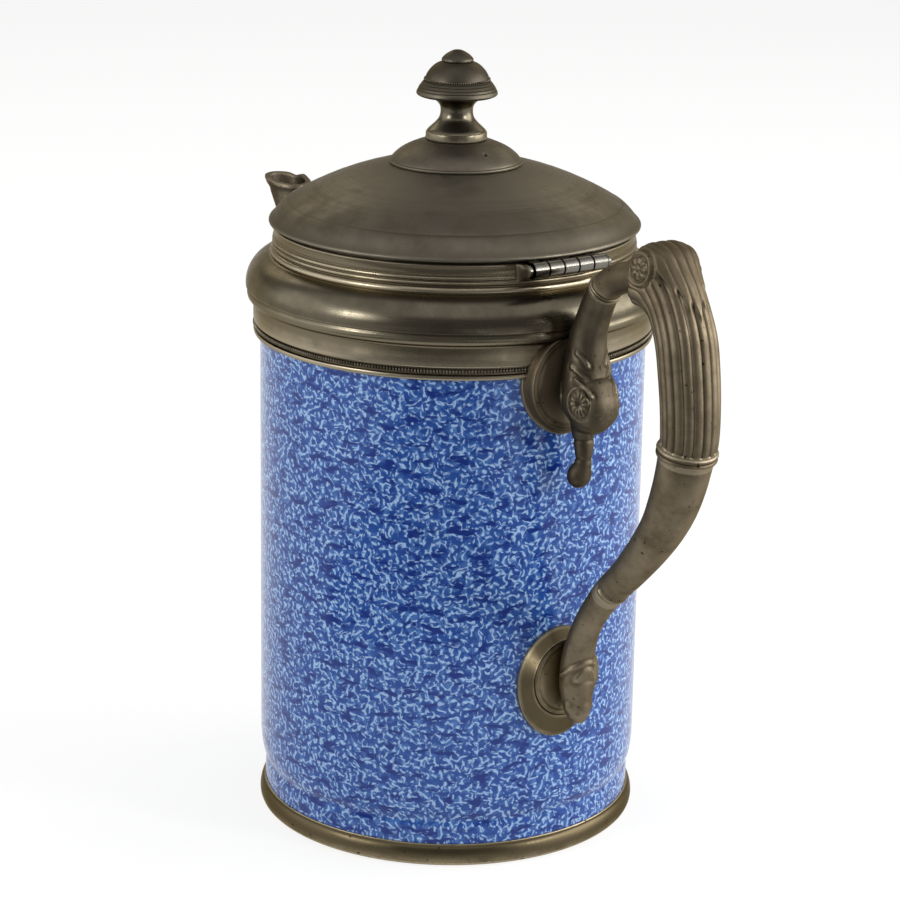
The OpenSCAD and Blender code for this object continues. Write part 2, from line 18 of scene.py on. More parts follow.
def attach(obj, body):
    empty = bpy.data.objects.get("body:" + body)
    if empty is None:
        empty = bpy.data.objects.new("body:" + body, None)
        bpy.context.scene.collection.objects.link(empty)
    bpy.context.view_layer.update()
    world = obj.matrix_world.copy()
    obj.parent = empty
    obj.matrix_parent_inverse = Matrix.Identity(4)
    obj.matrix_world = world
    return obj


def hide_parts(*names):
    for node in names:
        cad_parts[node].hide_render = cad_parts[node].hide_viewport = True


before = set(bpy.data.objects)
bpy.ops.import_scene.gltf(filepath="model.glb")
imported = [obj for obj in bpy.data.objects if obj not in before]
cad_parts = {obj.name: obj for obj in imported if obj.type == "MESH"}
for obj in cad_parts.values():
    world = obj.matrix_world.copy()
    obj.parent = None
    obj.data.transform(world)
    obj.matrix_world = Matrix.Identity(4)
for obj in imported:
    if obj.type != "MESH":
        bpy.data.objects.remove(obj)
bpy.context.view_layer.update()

LOG = logging.getLogger("coffee_pot")
MM = 0.001
# steps round the wide turned pieces and round the finial
WIDE_STEPS = 240
FINIAL_STEPS = 96
# radius of the holes for the studs
STUD_HOLE = 2.03
Outline = Sequence[tuple[float, float]]
Material = bpy.types.Material
Mesh = bpy.types.Mesh
NodeTree = bpy.types.NodeTree
Socket = bpy.types.NodeSocket


# Helpers for numbers, meshes and nodes


def linear(code: str) -> tuple[float, float, float, float]:
    """Turns an sRGB hex colour into linear light.

    Args:
        code: Six hex digits after a hash sign.

    Returns:
        Linear red, green, blue and a full alpha.
    """
    parts = [int(code[i:i + 2], 16) / 255 for i in (1, 3, 5)]
    red, green, blue = [v / 12.92 if v <= 0.04045 else ((v + 0.055) / 1.055) ** 2.4 for v in parts]
    return red, green, blue, 1.0


def put(tree: NodeTree, kind: str, sockets: Optional[dict] = None, **settings: Any) -> bpy.types.Node:
    """Adds a node, sets its settings, and sets or links its inputs.

    Args:
        tree: The node tree that takes the node.
        kind: The node's type name.
        sockets: Input names or numbers, each with a value or with the socket that feeds it.
        settings: The node's own properties.

    Returns:
        The new node.
    """
    made = tree.nodes.new(kind)
    for key, value in settings.items():
        setattr(made, key, value)
    for key, value in (sockets or {}).items():
        if isinstance(value, Socket):
            tree.links.new(value, made.inputs[key])
        else:
            made.inputs[key].default_value = value
    return made


def calc(tree: NodeTree, operation: str, *values: Any) -> Socket:
    """Adds a node that reckons with numbers.

    Args:
        tree: The node tree that takes the node.
        operation: What it does with the numbers.
        values: The numbers, or the sockets that feed them.

    Returns:
        The result.
    """
    return put(tree, "ShaderNodeMath", dict(enumerate(values)), operation=operation).outputs[0]


def calc_vector(tree: NodeTree, operation: str, *values: Any) -> Socket:
    """Adds a node that reckons with vectors.

    Args:
        tree: The node tree that takes the node.
        operation: What it does with the vectors.
        values: The vectors, or the sockets that feed them.

    Returns:
        The result.
    """
    return put(tree, "ShaderNodeVectorMath", dict(enumerate(values)), operation=operation).outputs[0]


def ranged(tree: NodeTree, value: Socket, low: float, high: float, start: float = 0.0, end: float = 1.0,
           smooth: bool = False) -> Socket:
    """Maps one stretch of numbers on another, and holds it at the ends.

    Args:
        tree: The node tree that takes the node.
        value: The number.
        low: The start of the stretch that it lies in.
        high: The end of that stretch.
        start: The start of the new stretch.
        end: The end of the new stretch.
        smooth: True to ease both ends.

    Returns:
        The mapped number.
    """
    ends = {"Value": value, "From Min": low, "From Max": high, "To Min": start, "To Max": end}
    kind = "SMOOTHSTEP" if smooth else "LINEAR"
    return put(tree, "ShaderNodeMapRange", ends, interpolation_type=kind).outputs[0]


def noise(tree: NodeTree, where: Socket, size: float, detail: float, rough: float = 0.5,
          flat: bool = False) -> Socket:
    """Adds noise with features of one main size.

    Args:
        tree: The node tree that takes the node.
        where: The place, in millimetres.
        size: The size of the features, in millimetres.
        detail: The number of finer layers.
        rough: The strength of the finer layers.
        flat: True if the place has only two coordinates.

    Returns:
        A number about 0.5.
    """
    inputs = {"Vector": where, "Scale": 1 / size, "Detail": detail, "Roughness": rough}
    kind = "2D" if flat else "3D"
    return put(tree, "ShaderNodeTexNoise", inputs, noise_dimensions=kind).outputs["Fac"]


def blend(tree: NodeTree, share: Socket, first: Any, second: Any) -> Socket:
    """Mixes two colours.

    Args:
        tree: The node tree that takes the node.
        share: The share of the second colour.
        first: The first colour, or the socket that feeds it.
        second: The second colour.

    Returns:
        The mixed colour.
    """
    return put(tree, "ShaderNodeMix", {0: share, 6: first, 7: second}, data_type="RGBA").outputs[2]


def started(name: str) -> tuple[Material, NodeTree, bpy.types.Node, Socket]:
    """Starts a material.

    Args:
        name: The material's name.

    Returns:
        The material, its tree, its shader, and the place on the object in millimetres.
    """
    made = bpy.data.materials.new(name)
    made.use_nodes = True
    tree = made.node_tree
    place = put(tree, "ShaderNodeTexCoord").outputs["Object"]
    spot = put(tree, "ShaderNodeVectorMath", {0: place, "Scale": 1000.0}, operation="SCALE").outputs[0]
    return made, tree, tree.nodes["Principled BSDF"], spot


def glowing(name: str) -> tuple[Material, NodeTree]:
    """Starts a material without a shader, for the studio.

    Args:
        name: The material's name.

    Returns:
        The material and its tree.
    """
    made = bpy.data.materials.new(name)
    made.use_nodes = True
    made.node_tree.nodes.remove(made.node_tree.nodes["Principled BSDF"])
    return made, made.node_tree


def bump(values: np.ndarray, centre: float, half: float) -> np.ndarray:
    """A smooth hump of height 1 about a centre.

    Args:
        values: Where the hump is read.
        centre: The middle of the hump.
        half: The distance from the middle at which it has fallen to about a third.

    Returns:
        The hump's height at each value.
    """
    return np.exp(-((values - centre) / half) ** 2)


def step(values: np.ndarray, low: float, high: float) -> np.ndarray:
    """A smooth step from 0 at low to 1 at high.

    Args:
        values: Where the step is read.
        low: The value at which it leaves 0.
        high: The value at which it reaches 1.

    Returns:
        The step's height at each value.
    """
    part = np.clip((values - low) / (high - low), 0, 1)
    return part * part * (3 - 2 * part)


def eased(rows: Sequence[Sequence[float]], steps: int) -> np.ndarray:
    """Draws a smooth line through rows of numbers.

    Args:
        rows: The rows that the line passes through.
        steps: The number of points from one row to the next.

    Returns:
        The rows of the line, ends included.
    """
    line = np.asarray(rows, float)
    ends = np.vstack([line[:1], line, line[-1:]])
    part = np.arange(steps)[:, None] / steps
    made = []
    for a, b, c, d in zip(ends, ends[1:], ends[2:], ends[3:]):
        made.append(0.5 * (2 * b + (c - a) * part + (2 * a - 5 * b + 4 * c - d) * part ** 2
                           + (3 * b - a - 3 * c + d) * part ** 3))
    return np.vstack(made + [line[-1:]])


def curve(rows: Outline, steps: int) -> list[tuple[float, float]]:
    """A smooth stretch of an outline.

    Args:
        rows: The points that it passes through.
        steps: The number of points from one to the next.

    Returns:
        The points, ends included.
    """
    return [tuple(point) for point in eased(rows, steps)]


def arc(centre: tuple[float, float], half: tuple[float, float], start: float, end: float,
        count: int) -> list[tuple[float, float]]:
    """Points of an arc of an ellipse.

    Args:
        centre: The ellipse's middle.
        half: Its two half widths.
        start: The first angle, in degrees.
        end: The last angle, in degrees.
        count: The number of steps between them.

    Returns:
        The points, in order.
    """
    turns = np.radians(np.linspace(start, end, count + 1))
    return [(centre[0] + half[0] * math.cos(t), centre[1] + half[1] * math.sin(t)) for t in turns]


@dataclass
class Shape:
    """A mesh in millimetres before it becomes an object."""

    points: np.ndarray
    faces: list[Sequence[int]]
    skins: Optional[list[int]] = None

    def moved(self, matrix: Matrix) -> "Shape":
        """Turns and shifts the shape.

        Args:
            matrix: The turn and the shift, in millimetres.

        Returns:
            The moved shape.
        """
        turn = np.array(matrix)
        return Shape(self.points @ turn[:3, :3].T + turn[:3, 3], self.faces, self.skins)

    def mesh(self, name: str) -> Mesh:
        """Makes the shape a mesh in metres.

        Args:
            name: The mesh's name.

        Returns:
            The mesh, with its faces pointing outwards.
        """
        made = bpy.data.meshes.new(name)
        made.from_pydata((self.points * MM).tolist(), [], self.faces)
        if self.skins is not None:
            made.polygons.foreach_set("material_index", self.skins)
        made.validate()
        if enclosed(made) < 0:
            made.flip_normals()
        return made


def enclosed(mesh: Mesh) -> float:
    """The volume that a mesh's faces enclose.

    Args:
        mesh: The mesh to measure.

    Returns:
        The volume, below 0 where the faces point inwards.
    """
    mesh.calc_loop_triangles()
    corners = np.empty(len(mesh.loop_triangles) * 3, int)
    mesh.loop_triangles.foreach_get("vertices", corners)
    spots = np.empty(len(mesh.vertices) * 3)
    mesh.vertices.foreach_get("co", spots)
    a, b, c = spots.reshape(-1, 3)[corners].reshape(-1, 3, 3).transpose(1, 0, 2)
    return float((a * np.cross(b, c)).sum() / 6)


def band(a: Sequence[int], b: Sequence[int]) -> list[Sequence[int]]:
    """Faces between two rings of points, either of which may be a single point.

    Args:
        a: The numbers of the first ring's points.
        b: The numbers of the second ring's points.

    Returns:
        The faces.
    """
    if len(a) == 1 and len(b) == 1:
        return []
    if len(a) == 1:
        return [(a[0], b[(j + 1) % len(b)], b[j]) for j in range(len(b))]
    if len(b) == 1:
        return [(a[j], a[(j + 1) % len(a)], b[0]) for j in range(len(a))]
    return [(a[j], a[(j + 1) % len(a)], b[(j + 1) % len(a)], b[j]) for j in range(len(a))]


def turned(outline: Outline, segments: int = 192, lining: Sequence[int] = ()) -> Shape:
    """Turns a closed outline of radius and height about the Z axis.

    Args:
        outline: The outline's points in order.
        segments: The number of steps round the axis.
        lining: The first and last point of the stretch that takes the second material.

    Returns:
        The turned shape.
    """
    turns = np.linspace(0, 2 * np.pi, segments, endpoint=False)
    points: list[np.ndarray] = []
    loops: list[list[int]] = []
    count = 0
    for radius, height in outline:
        ring = turns[:1] if radius < 1e-6 else turns
        points.append(np.stack([radius * np.cos(ring), radius * np.sin(ring), 0 * ring + height], 1))
        loops.append(list(range(count, count + len(ring))))
        count += len(ring)
    faces: list[Sequence[int]] = []
    skins: list[int] = []
    for i in range(len(loops)):
        made = band(loops[i], loops[(i + 1) % len(loops)])
        faces += made
        skins += [1 if lining and lining[0] <= i < lining[1] else 0] * len(made)
    return Shape(np.vstack(points), faces, skins)


def lofted(rings: np.ndarray, closed: bool = False) -> Shape:
    """Joins rings of points to a solid.

    Args:
        rings: The rings, as an array of ring, point and coordinate.
        closed: True if the last ring joins the first, as in a tube with a wall.

    Returns:
        The lofted shape.
    """
    count, around = rings.shape[:2]
    points = rings.reshape(-1, 3)
    loops = [list(range(i * around, (i + 1) * around)) for i in range(count)]
    faces: list[Sequence[int]] = []
    for i in range(count - 1 + int(closed)):
        faces += band(loops[i], loops[(i + 1) % count])
    if not closed:
        points = np.vstack([points, rings[0].mean(0), rings[-1].mean(0)])
        faces += band([len(points) - 2], loops[0]) + band(loops[-1], [len(points) - 1])
    return Shape(points, faces)


def joined(shapes: Sequence[Shape]) -> Shape:
    """Puts several shapes into one.

    Args:
        shapes: The shapes.

    Returns:
        One shape with all their points and faces.
    """
    faces: list[Sequence[int]] = []
    count = 0
    for shape in shapes:
        faces += [tuple(k + count for k in face) for face in shape.faces]
        count += len(shape.points)
    return Shape(np.vstack([shape.points for shape in shapes]), faces)


def rod(radius: float, start: Sequence[float], end: Sequence[float], segments: int = 48) -> Shape:
    """A plain round bar between two points, used as a drill.

    Args:
        radius: The bar's radius.
        start: The middle of one end.
        end: The middle of the other end.
        segments: The number of steps round it.

    Returns:
        The bar.
    """
    a, b = Vector(start), Vector(end)
    turn = (b - a).to_track_quat("Z", "Y").to_matrix().to_4x4()
    bar = turned([(0, 0), (radius, 0), (radius, (b - a).length), (0, (b - a).length)], segments)
    return bar.moved(Matrix.Translation(a) @ turn)


def drilled(shape: Shape, drills: Sequence[Shape]) -> Mesh:
    """Takes bars out of a shape.

    Args:
        shape: The shape to drill.
        drills: The bars.

    Returns:
        A mesh with the holes.
    """
    work = bpy.data.objects.new("work", shape.mesh("work"))
    tool = bpy.data.objects.new("tool", joined(drills).mesh("tool"))
    for one in (work, tool):
        bpy.context.scene.collection.objects.link(one)
    cut = work.modifiers.new("cut", "BOOLEAN")
    cut.object = tool
    cut.solver = "EXACT"
    made = bpy.data.meshes.new_from_object(work.evaluated_get(bpy.context.evaluated_depsgraph_get()))
    for one in (work, tool):
        bpy.data.objects.remove(one)
    return made


def mark_wear(mesh: Mesh, reach: float, passes: int = 12) -> None:
    """Stores how proud each point stands, for rubbed edges and dark hollows.

    Args:
        mesh: The mesh that gets the attribute "wear": 0.5 on plain ground, more on edges.
        reach: The height in millimetres over the smoothed surface that counts as a full edge.
        passes: The number of times the surface is smoothed for the comparison.
    """
    count = len(mesh.vertices)
    spots = np.empty(count * 3)
    mesh.vertices.foreach_get("co", spots)
    facing = np.empty(count * 3)
    mesh.vertices.foreach_get("normal", facing)
    ends = np.empty(len(mesh.edges) * 2, int)
    mesh.edges.foreach_get("vertices", ends)
    a, b = ends.reshape(-1, 2).T
    here = spots.reshape(-1, 3) / MM
    soft = here.copy()
    share = np.maximum(np.bincount(ends, minlength=count), 1)[:, None]
    for _ in range(passes):
        total = np.stack([np.bincount(a, soft[b, k], count) + np.bincount(b, soft[a, k], count)
                          for k in range(3)], 1)
        soft = 0.4 * soft + 0.6 * total / share
    proud = ((here - soft) * facing.reshape(-1, 3)).sum(1)
    proud -= np.median(proud)
    layer = mesh.attributes.new("wear", "FLOAT", "POINT")
    layer.data.foreach_set("value", np.clip(0.5 + 0.5 * proud / reach, 0, 1).astype(np.float32))


# Finishes


class Grain(Enum):
    """How a metal surface was worked, which sets what its fine relief follows."""

    TURNED = "turned on a lathe"
    CAST = "cast and chased"
    JOINTED = "made of knuckles 5.3 mm long"


@dataclass(frozen=True)
class Graniteware:
    """Vitreous enamel fired on sheet steel, blue ground with curled white flecks.

    The glass flows when fired, so the white breaks into short curls, the blue pools into darker
    streaks between them, and the surface is glossy with a faint orange peel.
    """

    name: str = "vitreous_enamel_blue"
    deep: str = "#0A2770"
    blue: str = "#1D438A"
    haze: str = "#3F68A6"
    white: str = "#93B1D5"
    radius: float = 60.0
    curl: float = 2.0
    pool: float = 7.0
    peel: float = 4.0

    def unrolled(self, tree: NodeTree, spot: Socket) -> Socket:
        """Unrolls the wall.

        Args:
            tree: The material's tree.
            spot: The place on the wall.

        Returns:
            Millimetres round the wall and up it, bent by the flow of the glass.
        """
        axes = put(tree, "ShaderNodeSeparateXYZ", {0: spot}).outputs
        away = calc(tree, "MULTIPLY", calc(tree, "ARCTAN2", axes["Y"], axes["X"]), self.radius)
        flat = put(tree, "ShaderNodeCombineXYZ", {0: away, 1: axes["Z"]}).outputs[0]
        # the flow bends the flecks by up to 2.4 mm over about 4 mm
        flow = put(tree, "ShaderNodeTexNoise", {"Vector": spot, "Scale": 1 / 4.0, "Detail": 2.0})
        return calc_vector(tree, "MULTIPLY_ADD", flow.outputs["Color"], (2.4, 2.4, 0.0), flat)

    def curls(self, tree: NodeTree, bent: Socket, wave: float, half: float, cut: float) -> Socket:
        """Short curled lines.

        Args:
            tree: The material's tree.
            bent: The unrolled place.
            wave: The distance from line to line, in millimetres.
            half: Half the width of a line, as a share of that distance.
            cut: How much is broken away, between 0 and 1.

        Returns:
            1 on a line and 0 beside it.
        """
        phase = put(tree, "ShaderNodeTexGabor", {"Vector": bent, "Scale": 0.5 / wave, "Frequency": 2.0,
                                                 "Anisotropy": 0.0}).outputs["Phase"]
        off = calc(tree, "ABSOLUTE", calc(tree, "SUBTRACT", phase, 0.5))
        line = ranged(tree, off, half + 0.12, half - 0.07, smooth=True)
        # the lines break about every 2 mm
        gap = noise(tree, bent, 2.2, 1.0, flat=True)
        return calc(tree, "MULTIPLY", line, ranged(tree, gap, cut - 0.04, cut + 0.1, smooth=True))

    def material(self) -> Material:
        """Makes the enamel.

        Returns:
            Its material, with the pattern in Object coordinates.
        """
        made, tree, shader, spot = started(self.name)
        shader.inputs["IOR"].default_value = 1.4
        bent = self.unrolled(tree, spot)
        other = calc_vector(tree, "ADD", bent, (140.0, 75.0, 0.0))
        first = self.curls(tree, bent, self.curl, 0.10, 0.42)
        second = self.curls(tree, other, self.curl * 1.1, 0.08, 0.52)
        fleck = calc(tree, "MAXIMUM", first, second)
        # pools of plain blue, about 7 mm wide and 2.7 mm high
        wide = calc_vector(tree, "MULTIPLY", bent, (1.0, 2.6, 1.0))
        pools = noise(tree, wide, self.pool, 2.0, flat=True)
        thin = ranged(tree, pools, 0.33, 0.42, smooth=True)
        fleck = calc(tree, "MULTIPLY", fleck, thin)
        # milky veil round the flecks, about 2 mm wide
        veil = ranged(tree, noise(tree, bent, 2.2, 2.0, flat=True), 0.45, 0.72)
        veil = calc(tree, "MULTIPLY", veil, thin)
        ground = ranged(tree, pools, 0.3, 0.52)
        colour = blend(tree, ground, linear(self.deep), linear(self.blue))
        colour = blend(tree, veil, colour, linear(self.haze))
        colour = blend(tree, fleck, colour, linear(self.white))
        tree.links.new(colour, shader.inputs["Base Color"])
        peel = noise(tree, spot, self.peel, 1.0)
        relief = calc(tree, "MULTIPLY_ADD", fleck, 0.25, peel)
        lift = put(tree, "ShaderNodeBump", {"Strength": 0.22, "Distance": 0.0004, "Height": relief})
        tree.links.new(lift.outputs[0], shader.inputs["Normal"])
        tree.links.new(ranged(tree, peel, 0.0, 1.0, 0.1, 0.24), shader.inputs["Roughness"])
        return made


@dataclass(frozen=True)
class LiningEnamel:
    """Vitreous enamel of the inside and underside: grey-white with a fine salt-and-pepper mottle."""

    name: str = "vitreous_enamel_lining"
    pale: str = "#C6CACD"
    grey: str = "#8E979F"
    speck: float = 1.6

    def material(self) -> Material:
        """Makes the lining.

        Returns:
            Its material.
        """
        made, tree, shader, spot = started(self.name)
        shader.inputs["IOR"].default_value = 1.52
        mottle = noise(tree, spot, self.speck, 3.0)
        colour = blend(tree, ranged(tree, mottle, 0.42, 0.6), linear(self.grey), linear(self.pale))
        tree.links.new(colour, shader.inputs["Base Color"])
        tree.links.new(ranged(tree, mottle, 0.0, 1.0, 0.15, 0.35), shader.inputs["Roughness"])
        return made


@dataclass(frozen=True)
class Metal:
    """Pewter or bright steel: a soft grey metal, darker in its hollows and rubbed pale on its edges."""

    name: str
    grain: Grain
    plain: str
    tarnish: str
    rubbed: str
    roughness: float
    pitch: float
    relief: float
    aged: bool = True
    # the height in millimetres above which the colour is darkened towards the tarnish, painted shade on the
    # upward-facing tops, or 0
    untouched: float = 0.0

    def material(self) -> Material:
        """Makes the metal.

        Returns:
            Its material; an aged one reads the attribute "wear".
        """
        made, tree, shader, spot = started(self.name)
        shader.inputs["Metallic"].default_value = 1.0
        # oxide keeps the metal from going white at grazing angles
        shader.inputs["Specular Tint"].default_value = linear("#C8C0B2")
        axes = put(tree, "ShaderNodeSeparateXYZ", {0: spot}).outputs
        # patches of tarnish, about 9 mm across
        patch = noise(tree, spot, 9.0, 6.0, 0.62)
        where = spot
        if self.grain is Grain.TURNED:
            # tool lines run round the axis, so they follow radius and height alone
            flat = calc_vector(tree, "MULTIPLY", spot, (1.0, 1.0, 0.0))
            away = put(tree, "ShaderNodeVectorMath", {0: flat}, operation="LENGTH").outputs["Value"]
            where = put(tree, "ShaderNodeCombineXYZ", {0: away, 1: axes["Z"], 2: patch}).outputs[0]
        fine = noise(tree, where, self.pitch, 3.0, 0.6)
        shade = ranged(tree, patch, 0.3, 0.62)
        plain, tarnish = linear(self.plain), linear(self.tarnish)
        if self.aged:
            wear = put(tree, "ShaderNodeAttribute", attribute_name="wear").outputs["Fac"]
            shade = calc(tree, "MULTIPLY", shade, ranged(tree, wear, 0.12, 0.5, smooth=True))
            edge = ranged(tree, calc(tree, "MULTIPLY_ADD", fine, 0.5, wear), 0.86, 1.15, smooth=True)
            colour = blend(tree, edge, blend(tree, shade, tarnish, plain), linear(self.rubbed))
        else:
            colour = blend(tree, shade, tarnish, plain)
        if self.untouched:
            # painted shade: the colour darkens three quarters of the way to the tarnish over the 18 mm above
            # this height
            high = ranged(tree, axes["Z"], self.untouched, self.untouched + 18.0, end=0.75)
            colour = blend(tree, high, colour, tarnish)
        if self.grain is Grain.CAST and self.aged:
            # sparse dark pits under 1 mm wide
            pit = ranged(tree, noise(tree, spot, 1.7, 2.0), 0.69, 0.74)
            colour = blend(tree, pit, colour, linear("#2A2319"))
        if self.grain is Grain.JOINTED:
            # painted shade in the gaps between the knuckles: 0.5 in a gap between two knuckles and 0 in the
            # middle of one
            gap_shade = calc(tree, "PINGPONG", calc(tree, "MULTIPLY_ADD", axes["Y"], 1 / 5.3, 100.0), 0.5)
            colour = blend(tree, ranged(tree, gap_shade, 0.4, 0.47, smooth=True), colour, linear("#0E0C09"))
        tree.links.new(colour, shader.inputs["Base Color"])
        dull = calc(tree, "MULTIPLY_ADD", fine, 0.5, patch)
        gloss = ranged(tree, dull, 0.45, 1.05, self.roughness + 0.1, self.roughness - 0.1)
        tree.links.new(gloss, shader.inputs["Roughness"])
        lift = put(tree, "ShaderNodeBump", {"Strength": 1.0, "Distance": self.relief * MM, "Height": fine})
        tree.links.new(lift.outputs[0], shader.inputs["Normal"])
        return made


def metal(*values: Any, **more: Any) -> Any:
    """A field that holds a metal's material.

    Args:
        values: The metal's first values, in order.
        more: Its other values, by name.

    Returns:
        The field.
    """
    return field(default_factory=lambda: Metal(*values, **more).material())


@dataclass
class Finishes:
    """Every material of the pot, made once."""

    enamel: Material = field(default_factory=lambda: Graniteware().material())
    lining: Material = field(default_factory=lambda: LiningEnamel().material())
    # pewter spun on a lathe and grown dull: tool lines about 0.6 mm apart
    spun: Material = metal(
        "pewter_spun", Grain.TURNED, "#625C4F", "#514B3F", "#726B5A", 0.3, 0.6, 0.006)
    # spun pewter of the neck and the collar's lower band, made lighter as painted light for the bright
    # reflections on these upright bands
    spun_lightened: Material = metal(
        "pewter_spun_lightened", Grain.TURNED, "#8E8470", "#6F6655", "#9C927E", 0.3, 0.6, 0.006)
    # the finial's turned pewter, the darkest: the lid's pewter darkened as painted shade to tone down the
    # highlights on the cap and knob
    finial: Material = metal(
        "pewter_finial_shaded", Grain.TURNED, "#4E493F", "#433E35", "#5A554A", 0.48, 0.6, 0.006)
    # the lid's pewter, dulled by steam and hands
    lid: Material = metal(
        "pewter_lid", Grain.TURNED, "#645E53", "#565045", "#6C665A", 0.48, 0.6, 0.006)
    # pewter cast in a mould, chased and handled: soft pits about 1.2 mm across, with painted shade darkening
    # it above 180 mm
    cast: Material = metal(
        "pewter_cast", Grain.CAST, "#7A6F5C", "#594F40", "#8F8470", 0.5, 1.2, 0.06, untouched=180.0)
    # cast pewter of the lower pad and the spout's plate, yellower where the plating has gone
    pad: Material = metal(
        "pewter_pad", Grain.CAST, "#7A6F58", "#544B39", "#9C917A", 0.36, 1.2, 0.03)
    # the scroll, the spout and the hinge lug: the cast pewter darkened as painted shade
    dull: Material = metal(
        "pewter_cast_shaded", Grain.CAST, "#5B5345", "#423B31", "#766C5C", 0.48, 1.2, 0.05)
    # fine beads, a little brighter on their crowns
    bright: Material = metal(
        "pewter_bright", Grain.CAST, "#6C6558", "#464035", "#8E8676", 0.36, 0.8, 0.01)
    # plain turned steel of hinge, studs, nuts, washers and sieve
    steel: Material = metal(
        "steel_turned", Grain.CAST, "#7E7B74", "#5A5750", "#B2AFA8", 0.26, 0.7, 0.003, False)
    # worn steel of the hinge, with painted shade in the gaps between its knuckles, which are 5.3 mm long
    knuckle: Material = metal(
        "steel_hinge", Grain.JOINTED, "#75726B", "#5A5750", "#B2AFA8", 0.26, 0.7, 0.003, False)
    # the same spun pewter on solids that carry no wear marks
    inner: Material = metal(
        "pewter_inner", Grain.TURNED, "#6B665B", "#4B463C", "#A8A193", 0.4, 0.6, 0.010, False)


# Trees of Geometry Nodes


@dataclass
class Tree:
    """A tree of Geometry Nodes with named inputs for its sizes."""

    name: str
    inputs: dict[str, str]

    def __post_init__(self) -> None:
        """Starts the tree with its inputs and its output."""
        self.tree = bpy.data.node_groups.new(self.name, "GeometryNodeTree")
        face = self.tree.interface
        face.new_socket(name="Geometry", in_out="INPUT", socket_type="NodeSocketGeometry")
        face.new_socket(name="Geometry", in_out="OUTPUT", socket_type="NodeSocketGeometry")
        self.keys: dict[str, str] = {}
        for label, kind in {**self.inputs, "Finish": "NodeSocketMaterial"}.items():
            self.keys[label] = face.new_socket(name=label, in_out="INPUT", socket_type=kind).identifier
        self.start = put(self.tree, "NodeGroupInput").outputs

    def end(self, geometry: Socket) -> None:
        """Realizes the instances, smooths them, sets the material and closes the tree.

        Args:
            geometry: The socket that gives the geometry.
        """
        whole = put(self.tree, "GeometryNodeRealizeInstances", {0: geometry}).outputs[0]
        smooth = put(self.tree, "GeometryNodeSetShadeSmooth", {0: whole}).outputs[0]
        done = put(self.tree, "GeometryNodeSetMaterial", {0: smooth, "Material": self.start["Finish"]})
        put(self.tree, "NodeGroupOutput", {0: done.outputs[0]})

    def grow(self, name: str, finish: Material, values: dict[str, Any],
             start: Optional[Mesh] = None) -> Mesh:
        """Runs the tree.

        Args:
            name: The new mesh's name.
            finish: The material that the tree sets.
            values: The sizes, by the names of the inputs.
            start: The mesh that the tree works on, if it works on one.

        Returns:
            The result as a plain mesh.
        """
        work = bpy.data.objects.new("work", start or bpy.data.meshes.new("start"))
        bpy.context.scene.collection.objects.link(work)
        run = work.modifiers.new("run", "NODES")
        run.node_group = self.tree
        for label, value in {**values, "Finish": finish}.items():
            run[self.keys[label]] = value
        made = bpy.data.meshes.new_from_object(work.evaluated_get(bpy.context.evaluated_depsgraph_get()))
        made.name = name
        work.modifiers.remove(run)
        bpy.data.objects.remove(work)
        return made


class BeadRow(Tree):
    """A ring of small beads about the Z axis, all alike and turned to face outwards."""

    def __init__(self) -> None:
        """Builds the tree: a circle of points, and one low ball on each."""
        super().__init__("bead_row", {"Count": "NodeSocketInt", "Ring": "NodeSocketFloat",
                                      "Height": "NodeSocketFloat", "Bead": "NodeSocketVector"})
        ring = put(self.tree, "GeometryNodeMeshCircle", {"Vertices": self.start["Count"],
                                                         "Radius": self.start["Ring"]}).outputs[0]
        ball = put(self.tree, "GeometryNodeMeshUVSphere", {"Segments": 8, "Rings": 5,
                                                           "Radius": 1.0}).outputs[0]
        spot = put(self.tree, "GeometryNodeInputPosition").outputs[0]
        turn = put(self.tree, "FunctionNodeAlignRotationToVector", {"Vector": spot}, axis="X").outputs[0]
        beads = put(self.tree, "GeometryNodeInstanceOnPoints", {
            "Points": ring, "Instance": ball, "Rotation": turn, "Scale": self.start["Bead"]}).outputs[0]
        shift = put(self.tree, "ShaderNodeCombineXYZ", {2: self.start["Height"]}).outputs[0]
        self.end(put(self.tree, "GeometryNodeTransform", {0: beads, "Translation": shift}).outputs[0])


class ReededSkin(Tree):
    """Rounded reeds pressed out of a smooth skin, along the attributes "round" and "along"."""

    def __init__(self) -> None:
        """Builds the tree: each point sinks by how far it is from the crown of its reed."""
        super().__init__("reeded_skin", {"Reeds": "NodeSocketInt", "Depth": "NodeSocketFloat"})
        tree = self.tree
        place, along = (put(tree, "GeometryNodeInputNamedAttribute", {0: name}, data_type="FLOAT").outputs[0]
                        for name in ("round", "along"))
        # 0 on the crown of a reed and 1 in the groove, with a round crown and a sharp groove
        part = calc(tree, "PINGPONG", calc(tree, "MULTIPLY", place, self.start["Reeds"]), 0.5)
        fall = calc(tree, "POWER", calc(tree, "MULTIPLY", part, 2.0), 2.6)
        sink = calc(tree, "MULTIPLY", calc(tree, "MULTIPLY", fall, self.start["Depth"]), along)
        sink = calc(tree, "MULTIPLY", sink, -1.0)
        facing = put(tree, "GeometryNodeInputNormal").outputs[0]
        shift = put(tree, "ShaderNodeVectorMath", {0: facing, "Scale": sink}, operation="SCALE").outputs[0]
        skin = self.start["Geometry"]
        self.end(put(tree, "GeometryNodeSetPosition", {0: skin, "Offset": shift}).outputs[0])


# Sub-assemblies


